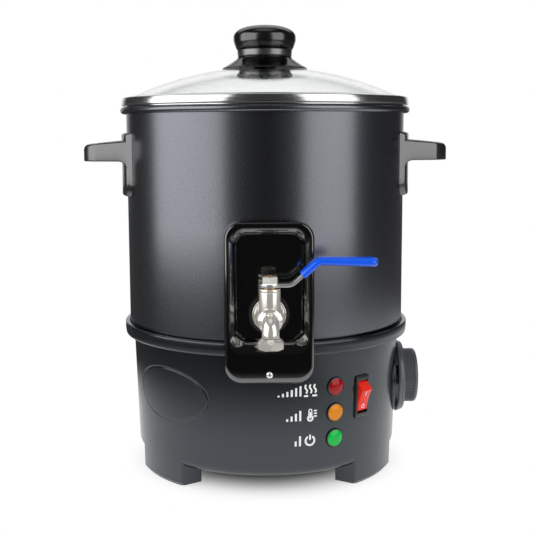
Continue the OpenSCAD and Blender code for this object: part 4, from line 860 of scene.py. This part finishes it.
# The nozzle has a turned shoulder with a socket for the spout's tube
nozzle = chamfered_nut(17.3, 0.35, 6, 0.55, 0.75, 4.6,
                       [(6.15, 8.0), (7.3, 6.75), (7.6, 6.4), (7.6, 5.9), (1.6, 5.6)])
nozzle.transform(Matrix.Translation((0, -SPOUT_OUT, 124)))
piece("spout_hex_nozzle", nozzle, nickel, "melter", "spout_nozzle", sharp=28)

# The nut that holds the lever, with the stem's threaded end in it
cap_nut = chamfered_nut(10.4, 0.2, 5.0, 0.0, 0.6, 2.5, [(5.0, 3.0), (4.4, 2.5)])
merge(cap_nut, lathe([(0, -0.4), (2.45, -0.4), (2.45, 4.9), (2.2, 5.1), (2.45, 5.3),
                      (2.1, 5.6), (0, 5.6)], 48))
cap_nut.transform(Matrix.Translation((0, -STEM_OUT, 166.6)))
piece("lever_cap_nut", cap_nut, nickel, "valve_lever", "lever_nut", sharp=28)

# ------------------------ valve lever

LEVER_END = 74.0
LEVER_STEP = 2.0
LEVER_UP = math.radians(42)                     # slope between its two bends
LEVER_DOWN = LEVER_UP + math.radians(1.5)       # turned back past level
LEVER_RISE, LEVER_BEND, LEVER_BEND_R = 16.8, 12.2, 8.0
LEVER_HALF, LEVER_THIN = 4.5, 1.2               # half its width and thickness
SLEEVE_FROM, SLEEVE_TO = 22, 72.6


def lever_line():
    """Centre line of the lever as (x, z, heading in radians) from the stem on."""
    up, down, r = LEVER_UP, LEVER_DOWN, LEVER_BEND_R
    run = (LEVER_RISE - 2 * r * (1 - math.cos(up))) / math.sin(up)
    x1, z1 = LEVER_BEND + r * math.sin(up), r * (1 - math.cos(up))
    x2, z2 = x1 + run * math.cos(up), z1 + run * math.sin(up)
    line = [(LEVER_BEND * k / 4, 0.0, 0.0) for k in range(4)]
    for k in range(11):
        a = up * k / 10
        line.append((LEVER_BEND + r * math.sin(a), r * (1 - math.cos(a)), a))
    for t in (0.2, 0.4, 0.6, 0.8):
        line.append((x1 + run * t * math.cos(up), z1 + run * t * math.sin(up), up))
    for k in range(11):
        a = up - down * k / 10
        line.append((x2 + r * (math.sin(up) - math.sin(a)),
                     z2 + r * (math.cos(a) - math.cos(up)), a))
    x, z, a = line[-1]
    while x < LEVER_END - LEVER_STEP:
        x, z = x + LEVER_STEP, z + LEVER_STEP * math.tan(a)
        line.append((x, z, a))
    line.append((LEVER_END, z + (LEVER_END - x) * math.tan(a), a))
    return line


def swept(line, half_w, half_t, power, sides, start=0, end=0, swell=0):
    """Flat oval section swept along a line in the XZ plane.

    start and end are the lengths of its rounded ends, and swell is the share by which
    it thickens from x = 34 to 74. A power of 1 is an ellipse, a lower one is squarer."""
    rows = [(p, 1.0, 1.0) for p in line]
    if start:
        x, z, a = line[0]
        rows = [((x - start * math.sin(t) * math.cos(a), z - start * math.sin(t) * math.sin(a), a),
                 1 - 0.12 * (1 - math.cos(t)), 1 - 0.35 * (1 - math.cos(t)))
                for t in (1.5, 1.1, 0.7, 0.35)] + rows
    if end:
        x, z, a = line[-1]
        rows += [((x + end * math.sin(t), z + end * math.sin(t) * math.tan(a), a),
                  max(0.04, math.cos(t)) ** 0.75, max(0.04, math.cos(t)) ** 0.6)
                 for t in (0.3, 0.6, 0.85, 1.05, 1.22, 1.36, 1.48)]
    loops = []
    for (x, z, a), wide, thick in rows:
        loop = []
        for j in range(sides):
            t = 2 * math.pi * j / sides
            c, n = math.cos(t), math.sin(t)
            u = half_w * wide * math.copysign(abs(c) ** power, c)
            v = half_t * thick * math.copysign(abs(n) ** power, n)
            v *= 1 + swell * max(0, x - 34) / 40
            loop.append((x - v * math.sin(a), u, z + v * math.cos(a)))
        loops.append(loop)
    return loft(loops)


grip = [p for p in lever_line() if SLEEVE_FROM < p[0] < SLEEVE_TO]
piece("lever_vinyl_sleeve", swept(grip, 6.3, 3.0, 0.86, 40, start=0.6, end=4.2, swell=0.16),
      vinyl, "valve_lever", "lever_sleeve", place=ON_STEM, sharp=60)

bare = [p for p in lever_line() if 4 < p[0] < LEVER_END - 3]
strip = swept(bare, LEVER_HALF, LEVER_THIN, 0.25, 24)
merge(strip, lathe(soften([(2.5, -LEVER_THIN), (7.4, -LEVER_THIN, 0.4), (7.4, LEVER_THIN, 0.4),
                           (2.5, LEVER_THIN)]), 64))
piece("lever_steel_strip", strip, steel, "valve_lever", "valve_lever", place=ON_STEM, sharp=40)

# ------------------------ rocker switch

# From the pivot: half the face's height, its rise, the ends' radius, the face's dip
FACE, RISE, END, DIP = 8.6, 8.4, 12.6, 0.9
PIVOT_DEPTH, ROCKER_TILT = 4, math.radians(16)
ON_ROCKER = ON_SWITCH @ at(0, 0, -PIVOT_DEPTH) @ Matrix.Rotation(ROCKER_TILT, 4, "X")


def rocker_face(v):
    """Height of the concave rocker face above its pivot."""
    return RISE - DIP * (1 - (v / FACE) ** 2)


def rocker():
    """Rocker's side outline over its width, with rounded flanks."""
    outline = arc(0, 0, END, -18, 12, 8) + [(FACE + 0.5, RISE - 0.6), (FACE - 0.1, RISE)]
    for k in range(1, 14):
        v = FACE - 0.2 - (2 * FACE - 0.4) * k / 14
        outline.append((v, rocker_face(v)))
    outline += [(0.1 - FACE, RISE), (-FACE - 0.5, RISE - 0.6)] + arc(0, 0, END, 168, 198, 8)
    loops = []
    for x, shrink in ((-5.25, 0.5), (-5.1, 0.15), (-4.75, 0.0),
                      (4.75, 0.0), (5.1, 0.15), (5.25, 0.5)):
        loops.append([(x, v - math.copysign(min(abs(v), shrink), v),
                       w - (shrink if w > 0 else 0)) for v, w in outline])
    return loft(loops)


def bezel():
    """Stepped frame round the rocker, over the CAD housing that stays below."""
    loops = []
    for half_w, half_h, z, r in ((7.3, 16.5, 0.0, 2.0), (7.3, 16.5, 0.75, 2.0),
                                 (7.1, 16.3, 0.95, 1.9), (6.8, 16.0, 1.0, 1.7),
                                 (6.75, 15.95, 1.5, 1.6), (6.5, 15.7, 1.68, 1.5),
                                 (5.75, 13.9, 1.68, 0.6), (5.6, 13.75, 1.5, 0.5),
                                 (5.6, 13.75, 0.0, 0.5)):
        outline = soften([(-half_w, -half_h, r), (half_w, -half_h, r), (half_w, half_h, r),
                          (-half_w, half_h, r)], 6)
        loops.append([(x, y, z) for x, y in outline])
    return loft(loops, ring=True)


piece("switch_red_rocker", rocker(), red_rocker, "rocker", "switch_rocker",
      place=ON_ROCKER, sharp=30)

# ------------------------ prints


def ribbon(points, width, closed=False):
    """Flat stroke along points: pairs of (left, right) edge points."""
    out, count = [], len(points)
    for i, p in enumerate(points):
        a = points[(i - 1) % count] if closed or i else p
        b = points[(i + 1) % count] if closed or i < count - 1 else p
        way = Vector((b[0] - a[0], b[1] - a[1])).normalized()
        side = Vector((-way.y, way.x)) * width / 2
        out.append(((p[0] + side.x, p[1] + side.y), (p[0] - side.x, p[1] - side.y)))
    return out


def printed(strokes, lay, low, high):
    """Thin closed prints of strokes; lay(u, v, h) puts a point on the surface.

    A stroke is its points, its width and whether it closes to a ring."""
    data = bmesh.new()
    for points, width, closed in strokes:
        rows = [[data.verts.new(lay(*left, low)), data.verts.new(lay(*right, low)),
                 data.verts.new(lay(*right, high)), data.verts.new(lay(*left, high))]
                for left, right in ribbon(points, width, closed)]
        skin(data, rows, closed)
        if not closed:
            data.faces.new(rows[0])
            data.faces.new(rows[-1][::-1])
    bmesh.ops.recalc_face_normals(data, faces=data.faces)
    return data


on_mark = ([(0, 3.6), (0, 4.8), (0, 6.0), (0, 7.2)], 0.75, False)
off_mark = (circle(0, -5.4, 1.45), 0.6, True)
piece("switch_marks", printed([on_mark, off_mark], lambda u, v, h: (u, v, rocker_face(v) + h),
                              -0.05, 0.06), ink, "rocker", place=ON_ROCKER)
piece("switch_bezel_frame", bezel(), abs_black, "melter", place=ON_SWITCH, sharp=34)

# ------------------------ thermostat knob

# Distances from the pot's axis: the skirt's back, the grip's start, the grip's face
DIAL, GRIP, FACE_X = 108.0, 113.8, 125.2
RIBS = {"Count": 96, "Radius": 21.8, "Rib radius": 0.46, "Start": GRIP - 0.2, "Length": 9.2}


def ribs_round(name, sizes, material):
    """Node group of rounded ribs at equal angles round an axis, and its inputs' ids."""
    tree = bpy.data.node_groups.new(name, "GeometryNodeTree")
    ids = {}
    for label, value in sizes.items():
        kind = "NodeSocketInt" if isinstance(value, int) else "NodeSocketFloat"
        made = tree.interface.new_socket(label, in_out="INPUT", socket_type=kind)
        made.default_value = value
        ids[label] = made.identifier
    tree.interface.new_socket("Geometry", in_out="OUTPUT", socket_type="NodeSocketGeometry")
    given = add(tree, "NodeGroupInput").outputs
    ring = add(tree, "GeometryNodeMeshCircle", {"Vertices": given["Count"],
               "Radius": given["Radius"]})
    rib = add(tree, "GeometryNodeMeshCylinder", {"Vertices": 10,
              "Radius": given["Rib radius"], "Depth": given["Length"]})
    middle = reckon(tree, "ADD", given["Start"], reckon(tree, "DIVIDE", given["Length"], 2.0))
    rise = add(tree, "ShaderNodeCombineXYZ", {2: middle})
    placed = add(tree, "GeometryNodeInstanceOnPoints", {"Points": ring.outputs["Mesh"],
                 "Instance": rib.outputs["Mesh"]})
    moved = add(tree, "GeometryNodeTranslateInstances", {"Instances": placed.outputs[0],
                "Translation": rise.outputs[0]})
    real = add(tree, "GeometryNodeRealizeInstances", {0: moved.outputs[0]})
    dressed = add(tree, "GeometryNodeSetMaterial", {"Geometry": real.outputs[0],
                  "Material": material})
    add(tree, "NodeGroupOutput", {"Geometry": dressed.outputs[0]})
    return tree, ids


def grown(name, tree, ids, sizes):
    """Mesh that a node group makes with these sizes, its modifier gone again."""
    holder = into_scene(name, bpy.data.meshes.new(name))
    growth = holder.modifiers.new("growth", "NODES")
    growth.node_group = tree
    for label, value in sizes.items():
        growth[ids[label]] = value
    graph = bpy.context.evaluated_depsgraph_get()
    mesh = bpy.data.meshes.new_from_object(holder.evaluated_get(graph), depsgraph=graph)
    holder.modifiers.remove(growth)
    bpy.data.objects.remove(holder)
    return mesh


def dial():
    """Skirt and grip as one turned shape, with the ribs round the grip."""
    outline = [
        (0, DIAL), (8, DIAL), (8, DIAL + 3), (26.9, DIAL + 3), (26.9, DIAL), (29.2, DIAL),
        (29.7, DIAL + 0.15), (29.9, DIAL + 0.6), (29.8, DIAL + 1.6), (29.35, DIAL + 2.0),
        (29.2, DIAL + 2.3), (28.9, DIAL + 3.6), (28.3, GRIP - 0.8), (27.6, GRIP - 0.2),
        (26.9, GRIP), (23.4, GRIP), (22.1, GRIP + 0.15), (21.75, GRIP + 0.5),
        (21.75, FACE_X - 2.9), (22.3, FACE_X - 2.7), (22.3, FACE_X - 2.4)]
    outline += arc(20.1, FACE_X - 2.2, 2.2, 5, 90, 8)
    outline += [(8, FACE_X - 0.25), (0, FACE_X - 0.3)]
    data = lathe(outline, 192)
    tree, ids = ribs_round("grip_ribs", RIBS, dial_abs)
    data.from_mesh(grown("ribs", tree, ids, RIBS))
    return data


piece("thermostat_ribbed_dial", dial(), dial_abs, "thermostat_knob", "thermostat_knob",
      place=ON_DIAL, sharp=38)
pointer = [(-0.55, 5), (0.55, 5), (0.55, 18), (-0.55, 18)]
piece("thermostat_pointer", prism(pointer, FACE_X - 0.5, FACE_X - 0.02), ink,
      "thermostat_knob", place=ON_DIAL)

# ------------------------ lamps

LENS_R, LENS_FOOT, LENS_EDGE, LENS_RISE = 6.5, 0.2, 0.9, 1.6
LAMP_ANGLE = 27.6


def lens():
    """Domed lens on a short cylinder, with a plug below."""
    ball = (LENS_R ** 2 + LENS_RISE ** 2) / (2 * LENS_RISE)
    outline = [(0, -6), (3.5, -6), (3.5, LENS_FOOT), (LENS_R - 0.2, LENS_FOOT),
               (LENS_R, LENS_FOOT + 0.2)]
    for k in range(14, 0, -1):
        t = math.asin(LENS_R / ball) * k / 14
        outline.append((ball * math.sin(t), LENS_EDGE + LENS_RISE - ball + ball * math.cos(t)))
    return lathe(outline + [(0, LENS_EDGE + LENS_RISE)], 96)


def lamp_rim():
    """Dark ring round a lens."""
    return lathe(soften([(6.4, 0.5), (7.1, 0.5), (7.1, 1.25, 0.3), (6.4, 1.25, 0.3)]), 96)


for colour, material, z in (("red", red_lens, 82), ("amber", amber_lens, 62),
                            ("green", green_lens, 42)):
    there = on_wall(LAMP_ANGLE, z)
    piece("lens_" + colour, lens(), material, "melter", "lamp_" + colour, place=there, sharp=50)
    piece("lamp_rim_" + colour, lamp_rim(), abs_black, "melter", place=there, sharp=50)

# ------------------------ legends

GLYPH_ANGLE, LEVEL_ANGLE = 16.6, 12.4
INK_LOW, INK_HIGH = -0.03, 0.07
BAR_TALL, BAR_WIDE, BAR_PITCH = 7.8, 1.5, 3.3


def on_base(angle, z0):
    """Lays print coordinates on the drafted wall round one place."""
    def lay(u, v, h):
        z = z0 + v
        r = base_radius(z) + h
        t = math.radians(angle) + u / base_radius(z0)
        return (r * math.sin(t), -r * math.cos(t), z)
    return lay


def bars(count):
    """Level bars that end at u = 0, the tallest last."""
    foot = -BAR_TALL / 2
    return [([(-BAR_PITCH * (count - 1 - k), foot),
              (-BAR_PITCH * (count - 1 - k), foot + BAR_TALL * (k + 1) / count)],
             BAR_WIDE, False) for k in range(count)]


def wave(x, low, high, swing):
    """Upright wavy line."""
    return [(x + swing * math.sin(2 * math.pi * k / 16), low + (high - low) * k / 16)
            for k in range(17)]


# Three heat waves over a plate
heat = [(wave(x, -2.0, 4.6, 0.8), 1.35, False) for x in (-3.5, 0, 3.5)]
heat.append(([(-5.2, -4.0), (5.2, -4.0)], 1.4, False))
# A thermometer with its column and three scale lines
warm = [(circle(0, -2.4, 1.9), 1.3, True),
        ([(-1.15, -1.0), (-1.15, 3.4)] + arc(0, 3.4, 1.15, 180, 0, 8) + [(1.15, -1.0)],
         0.8, False),
        ([(0, -2.6), (0, 2.4)], 1.2, False)]
warm += [([(2.8, y), (5.2, y)], 1.1, False) for y in (3.2, 1.1, -1.0)]
# A power sign
ready = [(arc(0, -0.2, 3.5, -240, 60, 40), 1.4, False), ([(0, 0.3), (0, 4.4)], 1.4, False)]

for label, glyph, levels, z in (("heating", heat, 6, 81), ("keep_warm", warm, 4, 62),
                                ("ready", ready, 2, 42.5)):
    piece("legend_" + label, printed(glyph, on_base(GLYPH_ANGLE, z), INK_LOW, INK_HIGH),
          ink, "melter")
    piece("legend_level_" + label,
          printed(bars(levels), on_base(LEVEL_ANGLE, z), INK_LOW, INK_HIGH), ink, "melter")
